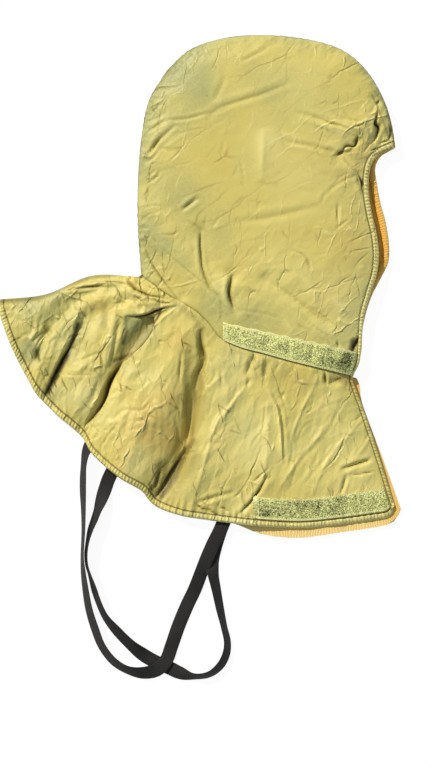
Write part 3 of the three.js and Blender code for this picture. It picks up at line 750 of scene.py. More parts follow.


# The warm gold is the lit cloth. The green, dark green and tan are painted shade where the green mark sets
# them, and they also carry the cloth's own uneven tone. The pale is painted light; the brown and the dark
# are painted shade.
SHELL_WARM = srgb(214, 197, 112)
SHELL_GREEN = srgb(172, 171, 112)
SHELL_SHADE = srgb(104, 104, 62)
SHELL_TAN_SHADE = srgb(202, 172, 90)
SHELL_PAINTED_LIGHT = srgb(240, 228, 156)
SHELL_CREASE_SHADE = srgb(150, 128, 56)
SHELL_HOLLOW_SHADE = srgb(66, 54, 20)
SHELL_ROUGH = 0.42
SHELL_GLOSS = 0.35
SHELL_THREAD_ROUGH = 0.12
GATHER_PITCH = 4.2
GATHER_SWAY = 9.0
GATHER_FADE = 1.5
GATHER_DEPTH = 0.00028
GATHER_LIGHT_AND_SHADE = 0.12
GROOVE_SHARP = 0.7
GROOVE_DEPTH = 0.0008
GROOVE_SHADE = 0.6
DRIFT = 0.012
LINE_RELIEF = 1.4
FINE_RELIEF = 0.8
BROAD_RELIEF = 0.08
PATCH_TONE = 1.5
GRAIN_TONE = 0.9
FINE_LINE_SHADE = 220.0
FINE_LINE_HIGHLIGHT = 340.0


def shell_material(name, heading):
    """Crisp crumpled nylon, its fine creases drawn out along the given heading, with light and shade painted
    into its colour.
    """
    made, start = opened(bpy.data.materials.new(name))
    place = start.node("ShaderNodeTexCoord", out="Object")
    names = ("crease", "deep", "green", "crumple", "edge", "run", "pale")
    crease, deep, green, crumple, edge, run, pale = (start.mark(mark) for mark in names)
    patches = place.noise(14.0, 4.0)
    threads = place.noise(1400.0, 2.0)
    grain = place.noise(420.0, 3.0)
    drift = start.node(
        "ShaderNodeVectorMath", {"operation": "MULTIPLY_ADD"},
        {0: place.noise(40.0, 3.0, out="Color"), 1: (DRIFT, DRIFT, DRIFT), 2: place},
    )

    def turned(stretch, way):
        return start.node(
            "ShaderNodeMapping", {"vector_type": "TEXTURE"},
            {"Vector": drift, "Rotation": (0, 0, math.radians(way)), "Scale": (stretch, 1, 1)},
        )

    def lines(size, stretch, way, width):
        """Crisp fold lines a given width wide that bound panels of a size, up in some patches and
        down in others, with smooth cloth between."""
        where = turned(stretch, way)
        border = start.node(
            "ShaderNodeTexVoronoi", {"voronoi_dimensions": "2D", "feature": "DISTANCE_TO_EDGE"},
            {"Vector": where, "Scale": 1 / size}, out="Distance",
        )
        flat = {"noise_dimensions": "2D"}
        sway = where.noise(0.45 / size, 1.0, flat).within(0.3, 0.7) * 2 - 1
        broken = where.noise(1.6 / size, 0.0, flat).within(0.38, 0.58)
        fold = 1 - border.within(0.0, width / size)
        return fold * sway * abs(sway) * broken * (LINE_RELIEF * width)

    def panels(size, stretch, way):
        """Flat facets of a size that meet in crisp folds."""
        away = start.node(
            "ShaderNodeTexVoronoi", {"voronoi_dimensions": "2D", "distance": "MANHATTAN"},
            {"Vector": turned(stretch, way), "Scale": 1 / size}, out="Distance",
        )
        return away * size

    long_lines = lines(size=0.021, stretch=3.0, way=heading, width=0.0016)
    short_lines = lines(size=0.012, stretch=2.4, way=heading + 50, width=0.0012)
    fine = (long_lines + short_lines) * FINE_RELIEF
    large_panels = panels(size=0.026, stretch=2.2, way=heading - 20)
    small_panels = panels(size=0.010, stretch=2.2, way=heading + 15)
    broad = (large_panels + small_panels) * BROAD_RELIEF
    sway = place.noise(70.0, 2.0)
    gathers = (run * (2 * math.pi / GATHER_PITCH) + sway * GATHER_SWAY).sine()
    gathers = gathers * (CHANNEL_WIDTH - edge).within(0.0, GATHER_FADE)
    groove = (1 - abs(edge - CHANNEL_WIDTH) * GROOVE_SHARP).within()
    crush = (fine + broad) * crumple + gathers * GATHER_DEPTH - groove * GROOVE_DEPTH
    # The green mark is painted shade: greener, dark green past 1 and tan below 0. The noise adds the cloth's
    # own uneven tone.
    tone = green + (patches - 0.5) * PATCH_TONE + (grain - 0.5) * GRAIN_TONE
    colour = tone.within().between(SHELL_WARM, SHELL_GREEN)
    colour = (tone - 1).within().between(colour, SHELL_SHADE)
    colour = (0 - tone).within().between(colour, SHELL_TAN_SHADE)
    # Painted shade, brown, in the crease valleys and the fine fold lines.
    valley = crease.within(0.0, 1.2) * 0.4 - fine * FINE_LINE_SHADE
    colour = valley.within().between(colour, SHELL_CREASE_SHADE)
    # Painted highlights on ridges and fine fold lines, plus the painted light of the pale mark.
    ridge = (fine * FINE_LINE_HIGHLIGHT - crease * 0.5).within() * 0.55
    colour = (ridge + pale).between(colour, SHELL_PAINTED_LIGHT)
    # Painted shade in slits, hollows, the stitch groove and the troughs of the gathers, less on the gathers'
    # crests.
    dark = deep.within(0.25, 0.85) + groove * GROOVE_SHADE - gathers * GATHER_LIGHT_AND_SHADE
    colour = dark.within().between(colour, SHELL_HOLLOW_SHADE)
    weave = threads.bump(0.2, 0.0003, Normal=crush.bump(1.0, 1.0))
    return surfaced(made, start, {
        "Base Color": colour, "Roughness": threads * SHELL_THREAD_ROUGH + SHELL_ROUGH, "Normal": weave,
        "Specular IOR Level": SHELL_GLOSS,
    })


SHADE_TINT_PATCHES = [
    # x, y, reach, amount: painted shade, greener; a negative amount is tan painted shade
    (-60, 66, 16, 0.7), (-42, 46, 16, 0.7), (-20, 26, 14, 0.6), (-54, 14, 24, 0.3),
    (-66, 140, 14, 0.3), (-30, 200, 56, 0.25), (20, 260, 40, 0.25), (10, 56, 30, 0.25),
    (-42, 112, 26, 0.45), (-12, 95, 18, 0.3), (-5, 262, 24, 0.4), (-36, 242, 24, 0.4),
    (4, 216, 24, 0.45), (-26, 190, 20, 0.45), (-12, 236, 26, 0.35), (-16, 112, 16, 0.25),
    (76, 236, 30, 0.3), (150, -66, 30, 0.45), (16, -18, 24, 0.7), (60, -44, 30, 0.5),
    (176, 50, 40, -0.5), (186, 140, 30, -0.4), (150, -20, 34, -0.5), (30, 90, 40, -0.15),
    (-122, -28, 16, -0.8), (-72, -50, 20, 0.5), (-86, -40, 12, 0.4), (-196, -74, 13, 1.4),
    (-168, -124, 18, 0.7), (-123, -152, 18, 0.6), (-105, 6, 20, 0.4), (-117, -34, 14, 0.3),
    (-190, -42, 42, 0.4), (-198, -22, 14, 0.5), (-168, -8, 12, 0.5), (-117, -40, 12, 0.4),
    (-196, -90, 12, 0.4), (-136, -16, 26, 0.35), (-150, -70, 26, 0.3), (-90, -92, 14, 0.4),
    (-60, -100, 16, 0.4), (2, -90, 14, 0.3), (52, -165, 18, 0.5), (100, -182, 22, 0.5),
    (126, -158, 18, 0.3), (190, -150, 40, 0.1), (-62, -160, 24, -0.9), (-40, -176, 20, -0.9),
    (-84, -200, 18, -0.7), (-36, -128, 14, -0.6), (-30, -60, 14, -0.5), (16, -176, 16, -0.4),
    (86, -178, 18, -0.6), (180, -112, 14, -1.0), (110, -104, 20, -0.5), (-86, 10, 12, -0.4),
]
PAINTED_LIGHT_PATCHES = [
    # x, y, reach, amount: painted light
    (173, -190, 40, 0.3), (150, -137, 24, 0.3), (196, -236, 20, 0.3), (56, -150, 20, 0.25),
    (150, -264, 40, 0.35), (50, -264, 30, 0.35), (56, -190, 28, 0.4), (40, -104, 24, 0.35),
    (-136, -126, 20, 0.6), (-137, -33, 10, 0.35), (-80, -214, 12, 0.4), (-56, -112, 18, 0.3),
    (-74, -196, 18, 0.5), (-100, -64, 10, 0.3), (-100, -160, 20, 0.2), (160, -20, 40, 0.3),
    (76, 170, 16, 0.35), (110, 130, 50, 0.2), (115, 228, 36, 0.18), (92, 10, 40, 0.1),
    (40, -82, 14, 0.25), (-70, -155, 18, 0.25), (80, 20, 40, 0.12), (-26, -22, 8, 0.4),
]
CRUMPLED = [
    # x, y, reach, amount
    (-60, 150, 30, 0.3), (-50, 40, 40, 0.4), (185, 170, 40, 1.0), (150, -30, 50, 0.5),
    (30, 0, 40, 0.6), (160, 80, 50, 0.25), (-40, 190, 40, 0.2), (-170, -70, 60, 0.9),
    (-70, -10, 30, 1.1), (-80, -160, 40, 0.5), (-12, -70, 34, 0.3), (90, 20, 50, 0.3),
]
CRUMPLED_HOOD = 0.12
CROWD_STEPS = 500


def patched(rows, x, y, all_over=0.0):
    """Amount that a table of soft round patches gives at each place."""
    amount = np.full(x.shape, all_over)
    for px, py, reach, share in rows:
        amount += share * np.exp(-((x - px) ** 2 + (y - py) ** 2) / reach**2)
    return amount


def crowded(count, place, reach, more):
    """Shares from 0 to 1 that stand closer together about a place."""
    even = np.linspace(0, 1, CROWD_STEPS)
    run = np.cumsum(1 + more * bell(even - place, reach))
    return np.interp(np.linspace(0, 1, count), (run - run[0]) / (run[-1] - run[0]), even)


HOOD_HEADING = 32
HOOD_COLUMNS = 195
HOOD_ROWS = 225
HOOD_SEED = 11
HOOD_EVEN = 6
HOOD_CREASE_MARK = 2.0
CROWN_FLAT = 14.0
CROWN_PUCKER = 0.4
CROWN_PUCKER_WAVE = 9.1
CROWN_PUCKER_REACH = 10.0
CROWN_DARK = 0.62
CROWN_DARK_SWAY = 0.2
CROWN_DARK_WAVE = 37.0
CROWN_DARK_REACH = 1.7
CROWN_CRUMPLE = 1.4
CROWN_CRUMPLE_REACH = 12.0
CROWN_SHADE_TINT = 0.9
CROWN_SHADE_TINT_REACH = 9.0
NECK_SEAM_DIP = 1.2
NECK_SEAM_REACH = 1.6
NECK_SEAM_DARK = 0.68
NECK_SEAM_DARK_REACH = 1.3
FACE_CRUMPLE = 0.3
FACE_CRUMPLE_REACH = 16.0
FACE_PAINTED_LIGHT = 0.5
FACE_PAINTED_LIGHT_REACH = 28.0
CHANNEL_PAINTED_LIGHT = 0.25

hood_finish = shell_material("hood_nylon", HOOD_HEADING)
hood_us = crowded(HOOD_COLUMNS, place=0.95, reach=0.2, more=0.7)
hood_vs = crowded(HOOD_ROWS, place=0.85, reach=0.15, more=0.8)
near_base = hood_grid(hood_us, hood_vs, near_face, near_height)
near_x, near_y = near_base[..., 0], near_base[..., 1]
from_face, along_face, _ = beside(near_face, near_x, near_y)
from_crown, along_crown, _ = beside(crown_line, near_x, near_y)
from_neck_line = beside(neck_line, near_x, near_y)[0]
near_relief = crease_relief(HOOD_CREASES + scattered(HOOD_WRINKLES, HOOD_SEED), near_x, near_y)
near_relief += flap_relief(HOOD_FLAPS, near_x, near_y)
near_relief *= np.clip(from_crown / CROWN_FLAT, 0, 1)
under_tape = from_neck_line < TAPE_WIDTH + THROAT_TAPE_MARGIN
under_tape &= near_x > THROAT_TAPE_BACK - THROAT_TAPE_MARGIN
under_tape &= near_x < THROAT_TAPE_FRONT + THROAT_TAPE_MARGIN
near_relief *= np.where(under_tape, TAPE_FLATTENS, 1)
near_slits, near_painted_shade = slit_share(HOOD_SLITS, near_x, near_y)
near_relief += near_slits
near_relief += CROWN_PUCKER * pucker(along_crown, CROWN_PUCKER_WAVE) * bell(from_crown, CROWN_PUCKER_REACH)
near_relief -= NECK_SEAM_DIP * bell(from_neck_line, NECK_SEAM_REACH)
near_relief += edge_round(from_face, EDGE_RADIUS)
near_hood = near_base + normals_of(near_base) * near_relief[..., None]
near_inner = near_hood - normals_of(smoothed(near_base, HOOD_EVEN)) * SHELL_WALL

# Painted shade: in the slits and the hollows of the table, as a dark line in the neck seam's groove, and
# along the crown seam's rolled edge.
near_painted_shade = shaded(near_painted_shade, HOOD_SHADES, near_x, near_y)
near_painted_shade = np.maximum(near_painted_shade, NECK_SEAM_DARK * bell(from_neck_line, NECK_SEAM_DARK_REACH))
crown_dark = CROWN_DARK + CROWN_DARK_SWAY * pucker(along_crown, CROWN_DARK_WAVE)
near_painted_shade = np.maximum(near_painted_shade, crown_dark * bell(from_crown, CROWN_DARK_REACH))
near_crumple = patched(CRUMPLED, near_x, near_y, CRUMPLED_HOOD)
near_crumple += CROWN_CRUMPLE * np.exp(-from_crown / CROWN_CRUMPLE_REACH)
near_crumple += FACE_CRUMPLE * np.exp(-from_face / FACE_CRUMPLE_REACH)
# Painted shade that turns the cloth greener, from the patches and along the crown seam.
near_shade_tint = patched(SHADE_TINT_PATCHES, near_x, near_y) + CROWN_SHADE_TINT * np.exp(-from_crown / CROWN_SHADE_TINT_REACH)
# Painted light from the patches, along the face edge and in the face channel.
near_painted_light = patched(PAINTED_LIGHT_PATCHES, near_x, near_y) + FACE_PAINTED_LIGHT * np.exp(-from_face / FACE_PAINTED_LIGHT_REACH)
near_painted_light += CHANNEL_PAINTED_LIGHT * (from_face < CHANNEL_WIDTH)
near_marks = {
    "crease": -near_relief / HOOD_CREASE_MARK, "deep": near_painted_shade, "crumple": near_crumple,
    "green": near_shade_tint, "pale": near_painted_light, "edge": in_channel(from_face, along_face), "run": along_face,
}
hood_right = wall_piece("hood_right_cloth", near_hood, near_inner, hood_finish, near_marks)
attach(hood_right, "root")
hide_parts("hood_shell_right")

far_base = hood_grid(hood_us[::-2], hood_vs[::2], far_face, far_height)
far_x, far_y = far_base[..., 0], far_base[..., 1]
far_from_face, far_along_face, _ = beside(far_face, far_x, far_y)
far_curl = np.clip(beside(crown_line, far_x, far_y)[0] / FAR_LIP_FROM_CROWN, 0, 1)
far_curl *= np.clip((far_y - FAR_LIP_LOW) / FAR_LIP_RISE, 0, 1)
far_base[..., 2] += FAR_LIP * far_curl * bell(far_from_face, FAR_LIP_REACH)
far_up = -normals_of(far_base)
far_marks = {
    "crease": np.zeros(far_x.shape), "deep": np.zeros(far_x.shape),
    "green": patched(SHADE_TINT_PATCHES, far_x, far_y), "edge": far_from_face, "run": far_along_face,
    "crumple": patched(CRUMPLED, far_x, far_y, CRUMPLED_HOOD),
}
hood_left = wall_piece("hood_left_cloth", far_base, far_base + far_up * SHELL_WALL, hood_finish, far_marks)
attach(hood_left, "root")
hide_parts("hood_shell_left")


# Hood lining
# A second layer of orange nylon inside each panel, turned and topstitched with it at the face.
# It shows along the face opening, where the lower panel stands out past the upper one.
LINING_WALL = 1.0
CLOTH_GAP = 0.5
LINING_BRIGHT = srgb(238, 175, 72)
LINING_DEEP = srgb(196, 132, 40)
LINING_PALE = srgb(250, 228, 160)
LINING_ROUGH = 0.45
LINING_THREAD_ROUGH = 0.1
LINING_PITCH = 3.2
LINING_SWAY = 16.0
LINING_RIB = 0.00014
LINING_TRIM = 2
LINING_EVEN = 10
LINING_PUCKER = 0.9
LINING_PUCKER_WAVE = 5.2
LINING_PUCKER_REACH = 12.0
LINING_PADDING = 0.5
LINING_THINNEST = -0.4
LINING_EDGE = 1.5
FACE_WORN = 0.35
FACE_WORN_REACH = 2.5


def lining_material():
    """Orange nylon with fine gathers across its edges, deeper orange as painted shade in its creases, and
    pale where worn.
    """
    made, start = opened(bpy.data.materials.new("lining_nylon"))
    place = start.node("ShaderNodeTexCoord", out="Object")
    crease, worn, run = (start.mark(mark) for mark in ("crease", "worn", "run"))
    threads = place.noise(1400.0, 2.0)
    # Deeper orange in the creases is painted shade; the noise is the lining's own uneven tone.
    tone = (crease * 0.9 + place.noise(60.0, 4.0) * 0.8).within(0.1, 1.1)
    colour = worn.between(tone.between(LINING_BRIGHT, LINING_DEEP), LINING_PALE)
    gathers = (run * (2 * math.pi / LINING_PITCH) + place.noise(70.0, 2.0) * LINING_SWAY).sine()
    weave = threads.bump(0.25, 0.0003, Normal=(gathers * LINING_RIB).bump(1.0, 1.0))
    return surfaced(made, start, {
        "Base Color": colour, "Roughness": threads * LINING_THREAD_ROUGH + LINING_ROUGH, "Normal": weave,
        "Specular IOR Level": SHELL_GLOSS,
    })


lining_finish = lining_material()
far_gather = LINING_PUCKER * pucker(far_along_face, LINING_PUCKER_WAVE)
far_gather = far_gather * bell(far_from_face, LINING_PUCKER_REACH) + LINING_PADDING
far_gather += edge_round(far_from_face, LINING_EDGE) + channel_relief(far_from_face)
far_gather = np.maximum(far_gather, LINING_THINNEST)
left_lower = far_base + far_up * (SHELL_WALL + CLOTH_GAP)
left_upper = left_lower + far_up * (LINING_WALL + far_gather)[..., None]
left_worn = FACE_WORN * bell(far_from_face, FACE_WORN_REACH)
left_marks = {"crease": -far_gather, "worn": left_worn, "run": far_along_face}
lining_left = wall_piece("hood_left_lining_cloth", left_lower, left_upper, lining_finish, left_marks)
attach(lining_left, "root")
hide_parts("hood_lining_left")

inside = np.s_[LINING_TRIM::2, LINING_TRIM:-LINING_TRIM:2]
near_up = normals_of(smoothed(near_hood, LINING_EVEN))
right_upper = (near_inner - near_up * CLOTH_GAP)[inside]
right_lower = right_upper - near_up[inside] * LINING_WALL
right_marks = {"crease": near_marks["crease"][inside], "worn": np.zeros(right_upper.shape[:2])}
lining_right = wall_piece("hood_right_lining_cloth", right_upper, right_lower, lining_finish, right_marks)
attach(lining_right, "root")
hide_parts("hood_lining_right")


# Cape
# One piece of the same nylon and lining, sewn to the hood round the neck and open at the front.
# It is crumpled into folds at the nape, and a gathered channel runs round its hem.
NECK_GAP = 1.0
NECK_TUCK = 3.0
NECK_SUNK = 2.5
NECK_FLAT = 5.0
THROAT_FILL = 5.0
THROAT_FILL_Y = -112.0
THROAT_FILL_REACH = 14.0
THROAT_FILL_WIDTH = 10.0
THROAT_FILL_FOLDS = 4
FRONT_FROM = 60.0
FRONT_REACH = 40.0
FRONT_NARROWS = 1.6
FRONT_FOLDS = 3
FAR_OFF = 99.0
HEM_TAPE_BELOW = 10.0
HEM_TAPE_FRONT = 0.75
HEM_TAPE_BACK = 5.55
HEM_TAPE_MARGIN = 2.0
HEM_TAPE_END = 0.05
HEM_FLAT = 16.0
HEM_FLATTENS = 0.25
HEM_PAINTED_LIGHT = 0.45
HEM_PAINTED_LIGHT_FROM = -40.0
HEM_PAINTED_LIGHT_LEAST = 0.3
HEM_PUCKER = 0.5
HEM_PUCKER_WAVE = 9.0
HEM_PUCKER_PLACE = 9.0
HEM_PUCKER_REACH = 9.0
HEM_GATHER = 1.4
HEM_GATHER_X = 0.0
HEM_GATHER_REACH = 50.0
EDGE_SINK = 5.0
EDGE_SINK_REACH = 14.0
SLIT_FLOOR = 5.5
FACET_SHADE_TINT = 0.6
CRUMPLED_CAPE = 0.75
CAPE_HEADING = 62
CAPE_COLUMN_STEP = 1.5
CAPE_FAR_COLUMNS = 70
CAPE_ROWS = 100
CAPE_SEED = 5
CAPE_EVEN = 4
CAPE_CREASE_MARK = 2.5
NEAR_FOLDS = [
    # neck x, bow at a third, bow at two thirds, hem x, hem y, height at a third, two thirds, hem
    (177, 1, 1, 226.5, -256, 13, 12.5, 11), (168, 0, 0, 219, -268, 14.5, 14, 11),
    (155, 0, 0, 198, -272, 16, 15.5, 11), (129, 0, 0, 161, -277, 17, 17, 11.5),
    (103, 0, 0, 121, -281, 18, 17.5, 12), (78, 0, 0, 82, -280, 19, 18, 12.5),
    (54, 0, 0, 43, -276, 20, 19, 13.5), (32, -1, -1, 5, -271, 21.5, 20, 14.5),
    (20, -1, -1, -24, -266, 22, 21, 16), (9, 7, 12, -53, -255, 16, 10, 9.5),
    (3, 3, 10, -68, -238, 23, 20, 16), (-5, 0, 0, -96, -221, 27, 29.5, 24),
    (-18, -7, -9, -126, -195, 24, 23, 18), (-24, -17, -13, -138, -175, 18, 16, 13),
    (-31, -20, -15, -152, -162, 22, 21, 16.5), (-37, -26, -20, -167, -150, 23, 22, 17),
    (-44, -31, -28, -181, -136, 19, 17, 13), (-51, -32, -32, -195, -119, 22, 21, 17),
    (-58, -30, -25, -206, -99, 17, 15, 12), (-63, -21, -20, -223, -63, 19, 19, 16),
    (-67, -10, -1, -235, -27, 15, 15, 14), (-69, -10.5, 2.5, -236, -15, 8, 8, 7.5),
]
FAR_FOLDS = [
    # the same columns, for the half that lies flat on the table
    (-67, -10, -1, -235, -27, 1.5, 1.5, 1.5), (-60, -12, -6, -226, -52, 0, 0, 0),
    (-36, -18, -16, -195, -106, 0, 0, 0), (-8, -10, -9, -140, -167, 0, 0, 0),
    (12, 0, 0, -82, -219, 0, 0, 0), (24, 0, 0, -36, -254, 0, 0, 0), (43, 0, 0, 32, -273, 0, 0, 0),
    (68, 0, 0, 72, -288, 0, 0, 0), (107, 0, 0, 115, -292, 0, 0, 0), (140, 0, 0, 161, -286, 0, 0, 0),
    (166, 1, 2, 213, -278, 0, 0, 0), (172, 0, 0.5, 226, -271.5, 0, 0, 0),
    (177, 0, 0.5, 233, -259, 0, 0, 0),
]
CAPE_CREASES = [
    # width, depth, and the points that the crease runs through; a negative depth is a ridge
    (9.0, -1.6, (34, -96), (28, -150), (16, -236)),
    (12.0, -2.4, (74, -112), (78, -160), (72, -236)),
    (14.0, 3.5, (2, -46), (0, -80), (-6, -120), (-24, -195), (-50, -244)),
    (9.0, 1.5, (-128, -24), (-148, -66), (-172, -108), (-186, -138)),
    (9.0, 1.5, (-76, -70), (-105, -108), (-137, -166)),
    (8.0, 2.0, (-44, -26), (-63, -47), (-76, -64), (-92, -88)),
    (3.0, -3.0, (-96, -96), (-84, -85), (-65, -67), (-53, -47), (-27, -24)),
    (3.0, -2.0, (-139, -28), (-164, -60)),
    (4.0, 3.0, (-174, -47), (-190, -67)),
    (3.5, 3.0, (-190, -72), (-191, -86)),
    (1.5, 0.8, (-167, -100), (-123, -103)),
    (1.5, 1.0, (-188, -85), (-168, -84)),
    (1.5, 1.0, (-147, -89), (-111, -74)),
    (2.0, 1.5, (-168, -4), (-131, -1), (-108, -1)),
    (2.5, 3.0, (-84, 13), (-79, -1), (-60, -12)),
    (1.5, -2.2, (-81, -2), (-65, -16), (-53, -25), (-27, -22)),
    (1.5, -2.2, (-67, 10), (-46, -3), (-32, -11)),
    (1.4, -2.2, (-92, 2), (-72, -10), (-46, -16), (-28, -20)),
    (1.4, -1.9, (-90, -12), (-74, -30), (-56, -31)),
    (2.4, -1.8, (-170, -6), (-154, -11), (-135, -16), (-126, -25), (-131, -32)),
    (2.4, -1.8, (-205, -13), (-193, -27), (-190, -41), (-196, -57), (-203, -69)),
    (2.4, -1.8, (-138, -28), (-146, -42), (-158, -66), (-175, -103)),
    (2.2, -1.8, (-99, -11), (-100, -34), (-110, -74), (-113, -102)),
    (1.6, 1.4, (-94, -36), (-98, -62), (-107, -92)),
    (2.0, -1.4, (-152, -18), (-144, -32), (-150, -46)),
    (2.0, -1.4, (-178, -24), (-166, -34), (-170, -50)),
    (1.6, 1.2, (-163, -3), (-135, -2), (-103, 5)),
    (1.6, 1.2, (-134, 3), (-120, 6), (-99, 5), (-79, -1)),
    (2.5, 1.8, (-196, -64), (-186, -55), (-176, -47)),
    (2.0, 1.5, (-22, -74), (-25, -112)),
    (3.0, 3.0, (0, -49), (0, -69), (3, -85), (-8, -108)),
    (2.0, 3.0, (-47, -213), (-54, -236)),
    (3.0, 2.0, (-14, -112), (-17, -180)),
    (1.2, 1.0, (-116, -186), (-104, -169), (-96, -160)),
    (1.2, 0.8, (-108, -202), (-84, -202), (-66, -224)),
    (2.2, -1.2, (22, -146), (-11, -256)),
    (2.0, -1.5, (52, -102), (52, -114), (33, -140), (19, -165)),
    (2.0, -1.4, (41, -135), (25, -148), (12, -173), (-1, -221)),
    (2.4, -2.2, (75, -117), (88, -141), (95, -207)),
    (1.8, 1.6, (80, -119), (92, -142), (98, -205)),
    (2.0, -1.6, (139, -105), (128, -122), (114, -151), (104, -178)),
    (2.0, -1.5, (187, -157), (152, -194), (128, -242)),
    (1.8, -1.0, (152, -157), (127, -183)),
    (2.0, -1.3, (114, -199), (91, -234)),
    (2.5, 1.5, (80, -216), (61, -248), (40, -269)),
    (2.5, 2.0, (-7, -252), (14, -245), (41, -238)),
    (2.0, 2.0, (170, -217), (162, -243)),
    (2.5, 2.0, (162, -213), (200, -200)),
    (3.0, 2.0, (62, -79), (52, -104)),
    (3.0, 2.0, (76, -86), (75, -104)),
    (2.0, 2.5, (144, -100), (144, -113)),
    (4.0, 2.0, (170, -104), (146, -114)),
    (2.0, -1.2, (32, -98), (19, -108), (-2, -129)),
    (1.5, 0.8, (75, -161), (57, -187)),
    (3.0, -1.0, (22, -200), (44, -233)),
]
CAPE_FLAPS = [
    # reach, height, and the points of the lip, with the raised cloth on its left
    (11.0, 4.0, (-178, -124), (-160, -90), (-146, -62), (-140, -44)),
    (11.0, 4.0, (-132, -156), (-118, -128), (-106, -102), (-94, -86)),
    (12.0, 3.5, (-94, -36), (-64, -35), (-36, -25), (-22, -20)),
    (8.0, 2.5, (-108, -92), (-102, -62), (-96, -34)),
    (14.0, 4.0, (-190, -88), (-188, -72), (-176, -50)),
    (10.0, 3.5, (-54, -246), (-39, -219), (-20, -188), (-14, -120)),
    (8.0, 1.5, (40, -270), (61, -248), (80, -216)),
    (9.0, 3.0, (-60, -13), (-79, -2), (-85, 12)),
    (10.0, 2.0, (-16, -130), (-8, -108), (3, -85), (0, -69), (0, -49)),
]
CAPE_FACETS = [
    # three corners, each as x, y, drop
    ((-88, -34, 0), (-54, -36, 4), (-55, -50, 4)), ((-88, -34, 0), (-55, -50, 4), (-92, -58, 0)),
    ((-92, -58, 0), (-55, -50, 4), (-68, -68, 3.5)),
    ((-92, -58, 0), (-68, -68, 3.5), (-94, -86, 2.5)),
]
CAPE_SLITS = [
    # width, depth, and the points that the slit runs through
    (2.3, 6.5, (-140, -44), (-148, -63), (-161, -86), (-172, -108), (-185, -138)),
    (2.4, 8.0, (-84, -76), (-91, -86), (-105, -108), (-116, -136), (-137, -166)),
    (1.7, 7.0, (-16, -184), (-36, -219), (-53, -247)),
    (2.0, 5.0, (-90, -35), (-65, -34), (-45, -26), (-27, -22)),
    (1.5, 3.5, (-54, -34), (-56, -50), (-66, -66), (-80, -78), (-92, -88)),
    (1.2, 3.5, (80, -214), (61, -246), (40, -268)), (1.2, 1.8, (-92, -142), (-66, -142), (-56, -131)),
    (1.2, 1.6, (-70, -145), (-46, -156)), (1.5, 3.0, (-8, -252), (10, -262)),
    (1.4, 2.6, (4, -256), (24, -268)), (1.4, 2.4, (18, -254), (36, -262)),
    (1.5, 2.8, (-87, 14), (-82, 3), (-73, -4), (-62, -10), (-46, -13), (-29, -18)),
    (1.3, 2.2, (-80, -3), (-67, -20), (-58, -27)), (1.2, 2.0, (-62, -11), (-46, -19), (-30, -19)),
    (1.3, 2.2, (-68, 5), (-58, -1), (-41, -5), (-29, -14)), (1.4, 3.0, (-60, -227), (-54, -240)),
    (1.5, 2.5, (-188, -70), (-192, -88)), (1.4, 2.5, (144, -100), (146, -116)),
    (1.4, 2.0, (-1, -52), (2, -84), (-8, -108)), (1.4, 2.0, (160, -212), (200, -200)),
    (1.3, 2.0, (172, -220), (206, -214)),
]
CAPE_SHADES = [
    # x1, y1, x2, y2, width, amount: painted shade in hollows and folds
    (-104, -92, -80, -78, 5, 0.5), (-202, -62, -190, -84, 8, 0.35), (-236, -16, -190, -12, 7, 0.62),
    (-190, -12, -168, -3, 7, 0.62), (-168, -3, -130, 11, 5, 0.58), (-130, 11, -86, 16, 4.5, 0.55),
    (-86, 16, -70, 12, 4, 0.6), (-46, -208, -54, -238, 12, 0.6), (-8, -178, -20, -198, 6, 0.6),
    (-20, -198, -30, -220, 7, 0.66), (-30, -220, -46, -242, 8, 0.7), (-8, -196, -34, -246, 15, 0.42),
    (-2, -45, 0, -118, 8, 0.4), (-30, -18, -8, -36, 9, 0.4), (-100, -86, -88, -82, 5, 0.7),
    (-6, -122, -9, -172, 5, 0.48), (4, -130, -12, -196, 10, 0.4), (-15, -76, -20, -150, 7, 0.42),
    (150, -104, 174, -112, 7, 0.45), (-58, -36, -46, -31, 3, 0.5), (-72, -22, -48, -22, 6, 0.42),
    (-112, -22, -112, -46, 8, 0.42), (-88, -50, -87, -66, 3, 0.5), (-142, -44, -155, -80, 3.6, 0.85),
    (-155, -80, -178, -123, 4.2, 0.9), (-46, -31, -54, -42, 2, 0.7), (-54, -42, -58, -54, 1.6, 0.6),
    (-58, -54, -67, -68, 1.6, 0.5), (-87, -36, -86, -52, 2.5, 0.55), (-86, -52, -90, -66, 3, 0.7),
    (-176, -50, -188, -62, 2, 0.6), (-188, -62, -192, -72, 2, 0.55),
    (-190, -74, -187, -86, 2.4, 0.65), (-218, -62, -209, -59, 1.2, 0.7),
    (-206, -17, -195, -34, 1.6, 0.5), (-195, -34, -197, -50, 1.6, 0.5),
    (-160, -102, -122, -102, 1.0, 0.45), (-148, -1, -113, 1, 1.6, 0.5),
    (-167, -6, -150, -13, 1.8, 0.5), (-150, -13, -132, -18, 1.8, 0.5),
    (-132, -18, -126, -27, 1.8, 0.5),
]
CAPE_WRINKLES = [
    # x, y, reach across, reach up, count, heading, spread, length, width, depth
    (-90, -140, 40, 50, 26, 60, 60, 22, 2.4, 0.6),
    (-170, -60, 40, 40, 34, 55, 50, 22, 1.8, 0.8),
    (-80, -8, 44, 16, 12, -25, 25, 26, 1.6, 0.6),
    (-117, -160, 24, 22, 26, 30, 50, 13, 1.4, 0.8),
    (-70, -150, 24, 16, 16, -30, 50, 15, 1.4, 0.7),
    (60, -180, 110, 60, 30, 62, 22, 46, 2.0, 0.5),
    (160, -170, 40, 60, 26, 45, 25, 32, 1.7, 0.5),
    (60, -100, 80, 14, 18, 75, 25, 18, 2.0, 1.0),
]


